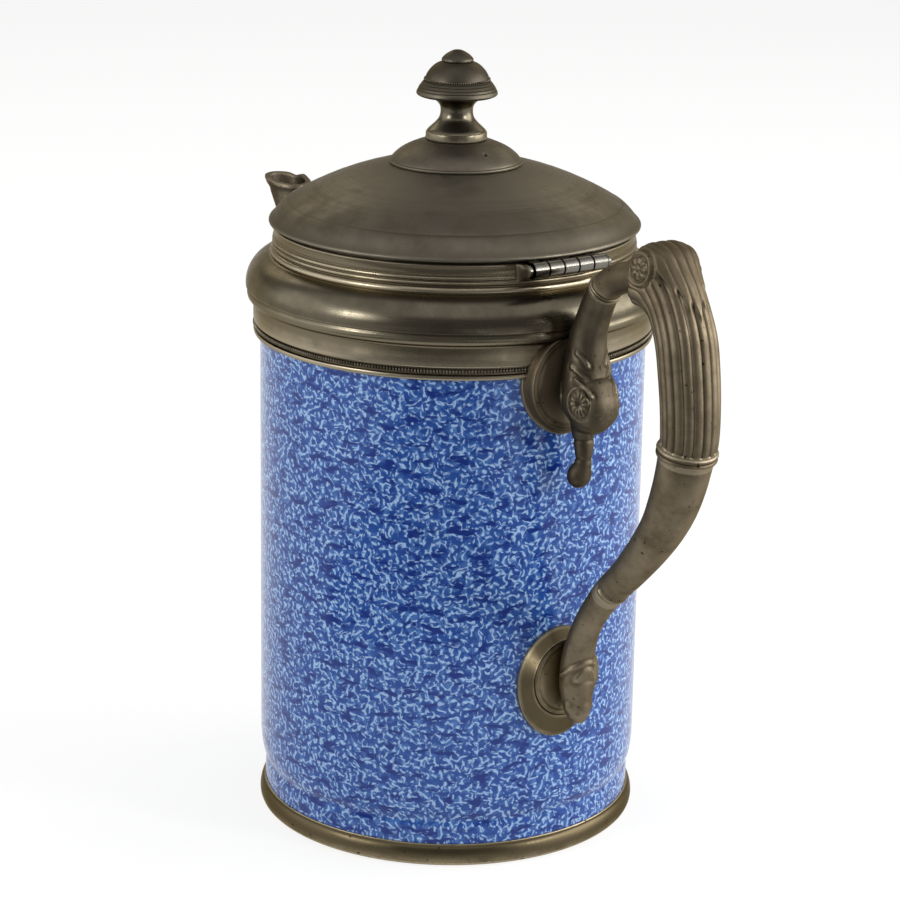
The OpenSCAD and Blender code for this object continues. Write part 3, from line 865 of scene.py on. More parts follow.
@dataclass
class Assembly:
    """A group of pieces that share a body of the pot."""

    finishes: Finishes
    body: ClassVar[str] = "pot"

    def keep(self, name: str, form: Union[Shape, Mesh], finish: Sequence[Material],
             nodes: Sequence[str] = (), slot: str = "pewter", sharp: float = 38.0,
             wear: float = 0.25) -> None:
        """Makes a shape or a mesh a piece of the pot.

        Args:
            name: The piece's name.
            form: Its shape or mesh, in place.
            finish: Its materials.
            nodes: The solids that it stands for.
            slot: Not used.
            sharp: The angle between faces, in degrees, above which an edge stays sharp.
            wear: The height in millimetres that counts as a full edge for wear marks.
        """
        mesh = form.mesh(name) if isinstance(form, Shape) else form
        mesh.name = name
        skins = np.empty(len(mesh.polygons), np.int32)
        mesh.polygons.foreach_get("material_index", skins)
        mesh.materials.clear()
        for one in finish:
            mesh.materials.append(one)
        # clearing the materials put every face on the first one
        mesh.polygons.foreach_set("material_index", skins)
        mesh.shade_smooth()
        mesh.set_sharp_from_angle(angle=math.radians(sharp))
        mark_wear(mesh, wear)
        piece = bpy.data.objects.new(name, mesh)
        bpy.context.scene.collection.objects.link(piece)
        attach(piece, self.body)
        if nodes:
            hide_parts(*nodes)
        LOG.info("%s: %d faces", name, len(mesh.polygons))

    def paint(self, names: Sequence[str], finish: Material) -> None:
        """Gives solids that stay as they are a material.

        Args:
            names: The solids' names.
            finish: The material.
        """
        for name in names:
            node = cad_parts[name]
            if not node.material_slots:
                node.data.materials.append(finish)
            for place in node.material_slots:
                place.material = finish
            LOG.info("%s: painted", name)


@dataclass
class Vessel(Assembly):
    """The enamelled body, its bottom pan, and the pewter band that it stands on."""

    radius: float = 60.0
    wall: float = 1.2
    foot: float = 58.5
    crease: float = 14.2
    top: float = 164.5
    stud_heights: tuple[float, float] = (152.8, 60.6)
    spout_height: float = 54.0
    spout_hole: float = 9.8

    def build(self) -> None:
        """Turns the body and the band, and drills the body for spout and studs."""
        c, f, r, w = self.crease, self.foot, self.radius, self.wall
        skin = [(f, 1.6), (f, 7), (f, c - 3.2), (f - 0.05, c - 1.9), (f - 0.28, c - 0.9),
                (f - 0.52, c - 0.3), (f - 0.52, c + 0.3), (f - 0.2, c + 1.0), (f + 0.3, c + 2.0),
                (f + 0.7, c + 3.2), (f + 1.05, c + 4.8), (f + 1.3, c + 6.8), (r, c + 9.5), (r, 60),
                (r, 110), (r, self.top)]
        inside = [(r - w, self.top), (r - w, c + 9), (f + 0.6 - w, c + 4.4), (f - 0.2 - w, c + 1.6),
                  (f - 0.5 - w, c - 0.4), (f - w, c - 2), (f - w, 1.6)]
        shape = turned(skin + inside, WIDE_STEPS, (len(skin) - 1, len(skin) + len(inside) - 1))
        drills = [rod(self.spout_hole, (-r - 5, 0, self.spout_height), (-r + 20, 0, self.spout_height))]
        drills += [rod(STUD_HOLE, (r - 20, 0, z), (r + 5, 0, z), 24) for z in self.stud_heights]
        self.keep("enamel_body", drilled(shape, drills),
                  (self.finishes.enamel, self.finishes.lining), ("body_wall",), "enamel")
        base = [(54.6, 0.3), (55, 0), (58.8, 0), (59.45, 0.3), (59.9, 0.8), (60.18, 1.5), (60.3, 2.3),
                 (60.27, 3.1), (60.12, 4.0), (59.85, 4.9), (59.55, 5.6), (59.25, 6.05), (59.05, 6.2),
                 (59.0, 6.45), (59.05, 6.75), (58.9, 6.95), (58.56, 7.0), (58.56, 1.55), (54.6, 1.55)]
        self.keep("foot_band", turned(base, WIDE_STEPS), (self.finishes.pad,), ("base_band",))
        self.paint(("bottom_pan",), self.finishes.lining)


@dataclass
class Collar(Assembly):
    """The pewter shoulder over the body, its row of beads, and the reeded neck."""

    beads: int = 416
    bead_height: float = 157.75

    def build(self) -> None:
        """Turns the shoulder and the neck, and sets the beads in their groove."""
        bulge = arc((55.4, 170.3), (9.0, 9.2), -5, 78, 26)
        skin = [(61.1, 155), (61.6, 155.1), (61.92, 155.3), (62.06, 155.65), (62.06, 156.15),
                (61.95, 156.45), (61.6, 156.6), (61.1, 156.68), (61.1, 158.8), (61.6, 158.88),
                (61.98, 159.05), (62.1, 159.4), (62.1, 162), (62.1, 164.7), (62.16, 165.15),
                (62.45, 165.5), (63.0, 165.75), (63.5, 166.1), (63.85, 166.6), (64.02, 167.3),
                (64.02, 168.0), (63.85, 168.6), (63.6, 169.0), (63.62, 169.2), (63.95, 169.35),
                (64.25, 169.45)]
        inside = arc((55.4, 170.3), (7.7, 7.9), 78, 0, 14)
        outline = skin + bulge + [(57.0, 179.5), (54.4, 179.5), (54.4, 178.2)] + inside
        outline += [(62.4, 168.4), (60.06, 166), (60.06, 155)]
        # the band below the moulding, the first 15 stretches of the outline, takes the lightened spun
        # pewter, painted light
        self.keep("collar", turned(outline, WIDE_STEPS, (0, 15)),
                  (self.finishes.spun, self.finishes.spun_lightened), ("collar_shoulder",))
        row = BeadRow().grow("bead_row", self.finishes.bright, {
            "Count": self.beads, "Ring": 61.62 * MM, "Height": self.bead_height * MM,
            "Bead": (0.66 * MM, 0.42 * MM, 0.72 * MM)})
        self.keep("bead_row", row, (self.finishes.bright,), ("beaded_trim",), sharp=80)
        neck = [(54.6, 179.5), (56.45, 179.5), (56.75, 179.75), (56.86, 180.2), (56.8, 180.75),
                (56.55, 181.2), (56.15, 181.5), (55.85, 181.65), (55.85, 181.85), (56.1, 182.05),
                (56.3, 182.35), (56.32, 182.75), (56.15, 183.05), (55.85, 183.2), (55.85, 183.4),
                (56.05, 183.6), (56.22, 183.9), (56.2, 184.3), (56.0, 184.55), (55.8, 184.7),
                (55.8, 184.85), (55.98, 185.05), (56.0, 185.3), (55.8, 185.5), (55.8, 187.3),
                (55.9, 187.45), (56.0, 187.7), (55.98, 188.0), (55.8, 188.2), (54.6, 188.2)]
        self.keep("neck", turned(neck, WIDE_STEPS), (self.finishes.spun_lightened,), ("neck_ring",))


@dataclass
class Hinge(Assembly):
    """The five-knuckle hinge between neck and lid, and the pinched lug at one end of its pin."""

    axis: tuple[float, float] = (59.4, 187.0)
    end: float = -13.3

    def build(self) -> None:
        """Gives the hinge's solids their bright metal and adds the lug."""
        self.paint(("hinge_fixed_leaf", "hinge_pin", "hinge_lid_leaf"), self.finishes.knuckle)
        turns = np.linspace(0, 2 * np.pi, 40, endpoint=False)
        rings = []
        for along, wide, tall in ((-1.3, 1.4, 1.5), (-1.4, 2.0, 2.1), (-2.0, 1.9, 2.0),
                                  (-2.7, 1.5, 2.2), (-3.6, 1.2, 2.7), (-4.5, 1.1, 3.0),
                                  (-4.9, 0.8, 2.8), (-5.0, 0.4, 2.2)):
            notch = 1 - 0.22 * bump(np.abs(np.cos(turns)), 0, 0.35) * step(np.array(-along), 2.4, 4.4)
            rings.append(np.stack([self.axis[0] + wide * np.cos(turns), 0 * turns + self.end + along,
                                   self.axis[1] + tall * notch * np.sin(turns)], 1))
        self.keep("hinge_lug", lofted(np.array(rings)), (self.finishes.dull,), (), "bright_metal")


@dataclass
class Lid(Assembly):
    """The domed lid with its crown, finial and the nut under it."""

    body: ClassVar[str] = "lid"
    crease: float = 51.2
    top: float = 209.6
    sag: float = 13.7
    sheet: float = 1.3
    vent: tuple[float, float] = (15.65, 0.8)

    def dome(self, radius: float) -> float:
        """The height of the dome's skin.

        Args:
            radius: The distance from the axis.

        Returns:
            The height there.
        """
        return self.top - self.sag * (radius / self.crease) ** 2.2

    def build(self) -> None:
        """Turns the lid and its finial, and sets the milled rows."""
        f = self.finishes
        radii = [9, 14, 19, 23, 27, 31, 35, 39, 43, 46, 48.5, 50.2]
        skin = [(0, self.dome(9))] + [(r, self.dome(r)) for r in radii]
        skin += [(50.8, 196.05), (51.2, 195.72), (51.6, 195.62), (52.1, 195.35), (52.9, 194.75),
                 (53.8, 193.95), (54.7, 193.0), (55.5, 192.05), (56.2, 191.2), (56.75, 190.6),
                 (57.1, 190.3), (57.26, 190.0), (57.3, 189.7), (57.2, 189.4), (56.9, 189.2)]
        under = [(54.1, 189.2), (54.1, 190.1), (55.4, 190.2), (54.5, 191.1), (53, 192.6), (51.5, 193.8),
                 (50.4, 194.5)]
        under += [(r, self.dome(r) - self.sheet) for r in reversed(radii[:-1])]
        under += [(0, self.dome(9) - self.sheet)]
        vent = rod(self.vent[1], (self.vent[0], 0, 195), (self.vent[0], 0, 220), 20)
        hole = rod(STUD_HOLE, (0, 0, 195), (0, 0, 216), 24)
        self.keep("lid_dome", drilled(turned(skin + under, WIDE_STEPS), [vent, hole]), (f.lid,),
                  ("lid_shell",))
        crown = [(20.4, 207.85), (20.62, 208.05), (20.66, 208.35), (20.5, 208.62), (20.15, 208.72),
                 (19.98, 208.85)]
        crown += curve([(19.9, 209.1), (18.95, 210.2), (17.2, 211.65), (15, 212.9), (12, 214.15),
                       (9.6, 214.9)], 3)
        crown += [(8.5, 215), (0, 215), (0, 214), (11, 213.1), (14.3, 211.9), (16.6, 210.6),
                  (18, 209.3), (19.1, 208.2)]
        self.keep("lid_crown_cap", drilled(turned(crown), [vent, hole]), (f.lid,), ("lid_crown",))
        stem = [(STUD_HOLE, 215), (9.1, 215), (9.35, 215.2), (9.4, 215.6), (9.4, 216.9), (9.3, 217.35),
                (9.05, 217.55)]
        stem += curve([(8.95, 217.8), (8.5, 218.3), (7.4, 219.3), (6.3, 220.4), (5.4, 221.6), (5, 223),
                       (5, 224.6), (5.4, 225.7), (6.3, 226.7), (7.4, 227.5), (8.1, 227.8)], 4)
        self.keep("stem", turned(stem + [(STUD_HOLE, 227.8)], FINIAL_STEPS), (f.spun,), ("finial_stem",))
        cap = [(STUD_HOLE, 227.8), (8.2, 227.8), (11.4, 228.3), (12.1, 228.6), (12.42, 229.0),
               (12.4, 229.45)]
        # fine lines turned into the flange
        for r, z in ((12.2, 230.0), (11.75, 230.9), (11.15, 231.75), (10.55, 232.5)):
            cap += [(r, z), (r - 0.1, z + 0.14), (r - 0.3, z + 0.24), (r - 0.22, z + 0.36)]
        cap += [(10.3, 232.85), (10.15, 233.05), (9.85, 233.1), (9.8, 233.7)]
        cap += curve([(9.7, 234.0), (9.3, 234.9), (8.6, 236.0), (7.4, 237.3), (6.2, 238.15),
                      (5.1, 238.6)], 4)
        self.keep("finial_dome", turned(cap + [(4.6, 238.7), (STUD_HOLE, 238.7)], FINIAL_STEPS), (f.finial,),
                  ("finial_cap",))
        knob = [(0, 238.7), (4.4, 238.7), (4.75, 238.85), (4.9, 239.2)]
        knob += curve([(4.85, 239.5), (4.5, 240.05), (3.7, 240.8), (2.9, 241.35), (2, 241.85),
                       (1.1, 242.2), (0, 242.3)], 3)
        self.keep("finial_knob", turned(knob, FINIAL_STEPS), (f.finial,), ("finial_button",))
        row = BeadRow()
        for name, count, ring, height, bead in (("cap_milling", 92, 9.95, 233.4, (0.26, 0.25, 0.36)),
                                                ("stem_milling", 84, 9.28, 215.5, (0.22, 0.26, 0.4))):
            mesh = row.grow(name, f.bright, {"Count": count, "Ring": ring * MM, "Height": height * MM,
                                             "Bead": tuple(v * MM for v in bead)})
            self.keep(name, mesh, (f.bright,), sharp=80)
        self.paint(("lid_bezel",), f.inner)
        self.paint(("finial_stud", "finial_washer", "finial_nut"), f.steel)


# The handle's stations: distance from the axis, height, width in its plane, width across
HANDLE: list[tuple[float, float, float, float]] = [
    (67.6, 121.8, 3, 3.2), (67.6, 123.6, 6.2, 6.4), (68.1, 126, 6.9, 7.1), (69.6, 129.6, 5, 5.2),
    (69.9, 133.8, 5.3, 5.5), (69.4, 139.2, 6.8, 7.1), (70.1, 142, 9, 9.5), (71.8, 144.6, 13.6, 14.2),
    (72.4, 147.4, 16.6, 17), (71.2, 151.6, 16.5, 17), (69.8, 156.2, 13.6, 14), (69.9, 162.4, 11.6, 12),
    (70.4, 168.4, 10.6, 11), (72.4, 174, 9.8, 10), (74.9, 179.4, 9.4, 9.6), (77.5, 183.6, 9.4, 9.4),
    (81.2, 186.7, 9.2, 9.2), (86.8, 189.2, 9, 9.2), (96, 191.6, 9.2, 9.8), (99, 193.2, 14.4, 15.1),
    (101.3, 193.6, 19.1, 19.4), (105.8, 192.8, 19.7, 18.9), (109.2, 189, 18.7, 17.7),
    (112.7, 183.6, 17.7, 17.3), (115.8, 176.6, 17.4, 17.8), (117.5, 168.3, 17.1, 17.8),
    (118.6, 159.6, 16.9, 17.4), (119, 151, 16.6, 17), (118.4, 147, 16.4, 16.6), (117.3, 142, 15.6, 16),
    (115.5, 135.4, 15.2, 15.4), (112.7, 128.2, 14.6, 14.6), (108.8, 121, 13.4, 13.2),
    (103.5, 113.8, 12.2, 12), (97, 106.3, 11, 10.8), (90.4, 99.4, 10, 9.8), (84.5, 93.8, 9.6, 9.6),
    (79.4, 87.8, 8.8, 9), (75.2, 81.8, 8.6, 8.8), (72.2, 75.6, 8.8, 9.2), (70.3, 69.4, 9.6, 10),
    (69.9, 63.8, 10.4, 10.8), (69.9, 59, 10.2, 10.6), (70.2, 54.6, 8.8, 9.2), (70.9, 51, 7, 7.6),
    (71.1, 48.2, 3.4, 4)]

# The spout's stations, in the same order, with the distance towards -X
SPOUT: list[tuple[float, float, float, float]] = [
    (-65, 54, 29, 29), (-70, 54.8, 28.4, 28.4), (-75, 57.8, 26.6, 26.8), (-78.7, 63.2, 24, 24.6),
    (-80.7, 71, 21.6, 22.4), (-81.5, 82, 19.6, 20.4), (-81.6, 96, 17.8, 18.4), (-81.8, 110, 16.2, 16.6),
    (-82.4, 124, 14.8, 15), (-83.8, 138, 13.8, 13.8), (-86.4, 151.5, 13, 12.8), (-89.8, 163.5, 12.6, 12.2),
    (-93.9, 173.6, 13.6, 12.4), (-97.4, 179.4, 16, 12.8), (-100.9, 185.1, 19, 13)]


class Path:
    """A bar that bends in the XZ plane, with a width in that plane and a width across it."""

    def __init__(self, stations: Sequence[Sequence[float]], steps: int = 12) -> None:
        """Eases the stations and finds the direction at each point.

        Args:
            stations: Distance from the axis, height, width in the plane and width across.
            steps: The number of points from one station to the next.
        """
        self.rows = eased(stations, steps)
        way = np.gradient(self.rows[:, :2], axis=0)
        self.way = way / np.linalg.norm(way, axis=1)[:, None]
        self.at = np.arange(len(self.rows)) / steps
        runs = np.linalg.norm(np.diff(self.rows[:, :2], axis=0), axis=1)
        self.far = np.concatenate([[0], np.cumsum(runs)])

    def steer(self, which: np.ndarray, aim: Any, share: np.ndarray) -> None:
        """Turns the sections at some points towards another direction.

        Args:
            which: The numbers of the path's points.
            aim: The new direction for each of them, or one direction for all.
            share: How far each section turns to it, from 0 to 1.
        """
        new = np.broadcast_to(np.asarray(aim, float), (len(which), 2))
        new = new / np.linalg.norm(new, axis=1)[:, None]
        way = (1 - share[:, None]) * self.way[which] + share[:, None] * new
        self.way[which] = way / np.linalg.norm(way, axis=1)[:, None]

    def span(self, low: float, high: float) -> np.ndarray:
        """Finds the points between two stations.

        Args:
            low: The first station.
            high: The last station.

        Returns:
            The numbers of the points.
        """
        return np.nonzero((self.at >= low - 1e-6) & (self.at <= high + 1e-6))[0]

    def rings(self, which: np.ndarray, around: int, lift: Optional[np.ndarray] = None,
              full: Any = 2.0) -> np.ndarray:
        """Rings of points round the path.

        Args:
            which: The numbers of the path's points.
            around: The number of points of a ring.
            lift: How far each point stands out of the plain skin, ring by ring.
            full: 2 for an oval section, more for a fuller one; one number or one for each ring.

        Returns:
            The rings, as an array of ring, point and coordinate.
        """
        turns = np.linspace(0, 2 * np.pi, around, endpoint=False)[None, :]
        cos, sin = np.cos(turns), np.sin(turns)
        more = (np.abs(cos) ** full + np.abs(sin) ** full) ** (-1 / full)
        extra = np.zeros((len(which), around)) if lift is None else lift
        part = self.rows[which]
        in_plane = (part[:, 2:3] / 2 * more + extra) * cos
        across = (part[:, 3:4] / 2 * more + extra) * sin
        way = self.way[which]
        return np.stack([part[:, 0:1] - way[:, 1:2] * in_plane, across,
                         part[:, 1:2] + way[:, 0:1] * in_plane], 2)


def beside(spots: np.ndarray, line: Sequence[Sequence[float]]) -> np.ndarray:
    """How far points are from a bent line.

    Args:
        spots: The points, in an array whose last axis is the coordinate.
        line: The line's corners.

    Returns:
        The distance of each point from the line.
    """
    best = np.full(spots.shape[:-1], 1e9)
    for a, b in zip(np.array(line, float), np.array(line[1:], float)):
        part = np.clip((spots - a) @ (b - a) / ((b - a) @ (b - a)), 0, 1)
        best = np.minimum(best, np.linalg.norm(spots - a - part[..., None] * (b - a), axis=-1))
    return best


@dataclass(frozen=True)
class Pad:
    """An oval plate bent round the body that rises to a round boss with a flat face."""

    half: tuple[float, float]
    height: float
    boss: float
    boss_height: float
    face: float
    bore: float
    section: Sequence[tuple[float, float, float]]
    wall: float = 60.05
    plate: float = 1.2
    side: float = 1.0

    def shape(self, around: int = 120) -> Shape:
        """The pad's shape.

        Args:
            around: The number of steps round it.

        Returns:
            Rings from the plate's edge over the boss to the bore and back along the wall.
        """
        turns = np.linspace(0, 2 * np.pi, around, endpoint=False)
        sin, cos = np.sin(turns), np.cos(turns)
        rings = []

        def ring(y: np.ndarray, z: np.ndarray, rise: float, lift: float, bare: bool = False) -> None:
            """Adds a ring.

            Args:
                y: The place of its points across.
                z: Their height.
                rise: The share of the way from plate to face.
                lift: What is added to it.
                bare: True if the ring lies on the wall.
            """
            low = np.sqrt(self.wall ** 2 - y ** 2)
            x = low if bare else (1 - rise) * (low + self.plate) + rise * self.face + lift
            rings.append(np.stack([self.side * x, y, z], 1))

        for share, rise, lift in self.section:
            a = (1 - share) * self.half[0] + share * self.boss
            b = (1 - share) * self.half[1] + share * self.boss
            middle = (1 - share) * self.height + share * self.boss_height
            ring(a * sin, middle + b * cos, rise, lift)
        for inset, lift in ((0.35, -0.14), (0.8, 0.0), (1.4, -0.04), (2.4, -0.1)):
            ring((self.boss - inset) * sin, self.boss_height + (self.boss - inset) * cos, 1.0, lift)
        ring(self.bore * sin, self.boss_height + self.bore * cos, 1.0, -0.1)
        ring(self.bore * sin, self.boss_height + self.bore * cos, 0.0, 0.0, True)
        ring(self.half[0] * sin, self.height + self.half[1] * cos, 0.0, 0.0, True)
        return lofted(np.array(rings), True)


@dataclass
class Handle(Assembly):
    """The cast handle in four lengths with two rings, on two pads, held by studs and nuts."""

    reeds: int = 18
    reed_depth: float = 0.5
    elbow: int = 15
    knee: int = 18
    ring: int = 28
    seam: int = 36
    bend: tuple[float, float] = (97.5, 172.0)
    roll_at: tuple[float, float] = (104.6, 196.4)
    roll_radius: float = 4.8
    roll_side: float = 5.5
    path: Path = field(default_factory=lambda: Path(HANDLE))
    leaf: ClassVar[tuple[Sequence[tuple[float, float, float]], ...]] = (
        ((70.6, 6.2, 160.2), (72.7, 5.7, 159.1), (74.4, 4.7, 157.7), (75.6, 4.0, 156.6)),
        ((72.7, 6.2, 156.9), (75.2, 5.5, 155.8), (77.0, 5.1, 154.5), (78.6, 4.3, 152.5)),
        ((72.1, 5.4, 164.3), (73.4, 4.6, 163.3), (74.6, 3.6, 161.6), (75.0, 3.1, 160.5)),
        ((66.1, 6.0, 154.5), (68.7, 8.0, 151.2), (69.2, 7.5, 146.8), (71.2, 6.5, 144.1)))
    tab: ClassVar[tuple[tuple[float, float], ...]] = (
        (85.5, 95.4), (88, 93.2), (90, 90.2), (92.3, 92.8), (94.3, 95.7))
    bract: ClassVar[tuple[tuple[float, float], ...]] = ((68.7, 63.5), (76.3, 69.2), (74, 63))

    def rosette(self, spots: np.ndarray) -> np.ndarray:
        """The relief of the scroll's rosette.

        Args:
            spots: Points of the scroll's plain skin.

        Returns:
            How far each point stands out: a sunk oval with twelve petals, an eye and a rim.
        """
        wide, tall = np.array((6.2, -4.0, 0.9)), np.array((-1.2, -0.4, 9.5))
        wide, tall = wide / np.linalg.norm(wide), tall / np.linalg.norm(tall)
        off = spots - np.array((76.3, 7.1, 150.1))
        u, v = off @ wide / 3.8, off @ tall / 4.9
        near, swing = np.hypot(u, v), np.arctan2(v, u)
        petal = np.abs(np.cos(6 * swing)) ** 0.7 * step(near, 0.2, 0.36) * (1 - step(near, 0.72, 0.86))
        lift = 0.4 * petal - 0.35 * (1 - step(near, 0.84, 0.96)) + 0.12 * bump(near, 1.04, 0.11)
        lift = lift - 0.35 * bump(near, 0.0, 0.16)
        return lift * (np.abs(off @ np.cross(wide, tall)) < 5)

    def scroll(self) -> None:
        """The upper length: curled tail, carved bulb with leaf and rosette, and the arm to the elbow."""
        which = self.path.span(0, self.elbow)
        around = 200
        spots = self.path.rings(which, around, None, 2.1)
        spots[..., 1] = np.abs(spots[..., 1])
        at = self.path.at[which][:, None]
        height = self.path.rows[which][:, 1:2]
        lift = self.rosette(spots)
        for line in self.leaf:
            gap = beside(spots, line)
            lift = lift + 0.34 * bump(gap, 0, 0.42) - 0.18 * bump(gap, 1.0, 0.45)
        lift = lift - 0.3 * bump(height, 137, 0.6) - 0.25 * bump(height, 131.2, 0.6)
        lift = lift * (1 - step(at, 14.2, 15))
        rings = self.path.rings(which, around, lift, 2.1)
        self.keep("handle_scroll_carved", lofted(rings), (self.finishes.dull,),
                  ("handle_scroll",), wear=0.3)

    def collar(self, name: str, node: str, at: int, length: float, humps: Outline) -> None:
        """A turned ring between two lengths.

        Args:
            name: The piece's name.
            node: The solid that it stands for.
            at: The station that it starts from.
            length: Its length along the handle.
            humps: How far along it and how proud each of its points stands.
        """
        row = np.array(HANDLE[at], float)
        way = self.path.way[self.path.span(at, at)[0]]
        turns = np.linspace(0, 2 * np.pi, 72, endpoint=False)
        rings = []
        for part, proud in humps:
            spot = row[:2] + way * length * part
            a, b = row[2] / 2 + proud, row[3] / 2 + proud
            rings.append(np.stack([spot[0] - way[1] * a * np.cos(turns), b * np.sin(turns),
                                   spot[1] + way[0] * a * np.cos(turns)], 1))
        self.keep(name, lofted(np.array(rings)), (self.finishes.cast,), (node,), wear=0.7)

    def plain(self, name: str, node: str, low: float, high: float) -> None:
        """A smooth length of the handle.

        Args:
            name: The piece's name.
            node: The solid that it stands for.
            low: The station that it starts from.
            high: The station that it ends at.
        """
        rings = self.path.rings(self.path.span(low, high), 96)
        self.keep(name, lofted(rings), (self.finishes.cast,), (node,))

    def roll(self, spots: np.ndarray) -> np.ndarray:
        """The relief of the rosette in each end of the grip's rolled top.

        Args:
            spots: Points of the grip's plain skin.

        Returns:
            How far each point stands out: a sunk round with eight petals, an eye and a rim.
        """
        u = (spots[..., 0] - self.roll_at[0]) / self.roll_radius
        v = (spots[..., 2] - self.roll_at[1]) / self.roll_radius
        near, swing = np.hypot(u, v), np.arctan2(v, u)
        petal = np.abs(np.cos(4 * swing)) ** 0.7 * step(near, 0.2, 0.36) * (1 - step(near, 0.62, 0.76))
        lift = 0.45 * petal - 0.4 * (1 - step(near, 0.76, 0.86)) + 0.25 * bump(near, 0.0, 0.14)
        lift = lift + 0.3 * bump(near, 0.95, 0.09) - 0.4 * bump(near, 1.14, 0.08)
        return lift * (np.abs(spots[..., 1]) > self.roll_side)

    def grip(self) -> None:
        """The reeded length that the hand holds, with a rolled top and a leaf of overlapping tongues."""
        path = Path(HANDLE, 16)
        which = path.span(self.knee, self.ring)
        off = path.rows[which][:, :2] - np.array(self.bend)
        path.steer(which, np.stack([off[:, 1], -off[:, 0]], 1), np.clip(off[:, 1] / 12, 0, 1))
        around = self.reeds * 16
        at = path.at[which][:, None]
        turns = np.linspace(0, 2 * np.pi, around, endpoint=False)[None, :]
        away = np.degrees(np.abs((turns + np.pi) % (2 * np.pi) - np.pi))
        full = 2 + 1.2 * step(at, 18.6, 19.6) * (1 - step(at, 20.6, 22.4))
        plain = path.rings(which, around, None, full)
        disc = np.hypot(plain[..., 0] - self.roll_at[0], plain[..., 2] - self.roll_at[1])
        clear = np.where(np.abs(plain[..., 1]) > self.roll_side, step(disc, 5.2, 6.4), 1.0)
        tip = 23.3 - 1.9 * (away / 62) ** 1.6 + 0.16 * np.cos(self.reeds * turns)
        leaf = (1 - step(at, tip - 0.1, tip + 0.1)) * step(at, 19.2, 20.2)
        lift = 0.45 * leaf * step(at, tip - 1.4, tip - 0.2) * clear + self.roll(plain)
        start = lofted(path.rings(which, around, lift, full)).mesh("grip_start")
        fade = step(at, 19.2, 20.4) * (1 - step(at, 27.75, 28.0)) * (1 - 0.3 * leaf) * clear
        along = np.concatenate([np.broadcast_to(fade, (len(which), around)).ravel(), [0, 0]])
        place = np.concatenate([np.tile(np.arange(around) / around, len(which)), [0, 0]])
        for label, values in (("along", along), ("round", place)):
            layer = start.attributes.new(label, "FLOAT", "POINT")
            layer.data.foreach_set("value", values.astype(np.float32))
        mesh = ReededSkin().grow("grip_reeded", self.finishes.cast,
                                 {"Reeds": self.reeds, "Depth": self.reed_depth * MM}, start)
        self.keep("grip_reeded", mesh, (self.finishes.cast,), ("handle_grip",), wear=0.4)

    def edge(self, which: np.ndarray, around: int, lines: Sequence[Outline]) -> np.ndarray:
        """The relief of leaf edges that run round a length of the handle.

        Args:
            which: The numbers of the path's points.
            around: The number of points of a ring.
            lines: The edges, each by its corners in the XZ plane.

        Returns:
            How far each point stands out.
        """
        spots = self.path.rings(which, around)[..., (0, 2)]
        lift = np.zeros(spots.shape[:-1])
        for line in lines:
            gap = beside(spots, line)
            lift += 0.32 * bump(gap, 0, 0.5) - 0.2 * bump(gap, 1.1, 0.45)
        return lift

    def lower(self) -> None:
        """The plain lower length, whose end carries half of the leaf over the seam."""
        which = self.path.span(self.ring + 0.55, self.seam)
        lift = self.edge(which, 120, (self.tab,)) * (self.path.at[which][:, None] > 33)
        rings = self.path.rings(which, 120, lift)
        self.keep("lower_bar", lofted(rings), (self.finishes.cast,), ("handle_lower",), wear=0.3)

    def foot(self) -> None:
        """The lower end, with the leaf over the seam, a bract over the boss and a lobed tip."""
        which = self.path.span(self.seam, len(HANDLE) - 1)
        around = 120
        lift = self.edge(which, around, (self.tab, self.bract))
        spots = self.path.rings(which, around)[..., (0, 2)]
        for x in (71.5, 76.0):
            gap = np.hypot(spots[..., 0] - x, spots[..., 1] - 53.5)
            lift += 0.4 * (1 - step(gap, 0.6, 2.2)) - 0.15 * bump(gap, 2.5, 0.4)
        rings = self.path.rings(which, around, lift)
        self.keep("handle_foot_carved", lofted(rings), (self.finishes.cast,),
                  ("handle_foot",), wear=0.3)

    def pads(self) -> None:
        """The two oval pads: the upper one dished up to its boss, the lower one with a stepped dome."""
        upper = Pad((15.2, 16.4), 152.8, 14.2, 152.8, 63.6, 2.05, (
            (0, 0, -0.5), (0.06, 0, -0.1), (0.15, 0, 0.05), (0.4, 0.02, 0.05), (0.5, 0.1, 0), (0.7, 0.55, 0),
            (0.85, 0.85, 0), (0.95, 0.96, 0), (1, 1, -0.12)))
        lower = Pad((14.1, 17.7), 58.0, 11.8, 60.6, 65.3, 2.05, (
            (0, 0, -0.5), (0.02, 0, -0.1), (0.06, 0.02, 0.05), (0.25, 0.2, 0), (0.5, 0.45, 0),
            (0.75, 0.7, 0), (0.9, 0.84, 0), (0.94, 0.86, -0.1), (0.965, 0.86, -0.3), (0.985, 0.9, -0.1),
            (1, 0.97, -0.1)))
        self.keep("pad_upper", upper.shape(), (self.finishes.cast,), ("upper_pad",), wear=0.3)
        self.keep("pad_lower", lower.shape(), (self.finishes.pad,), ("lower_pad",), wear=0.3)

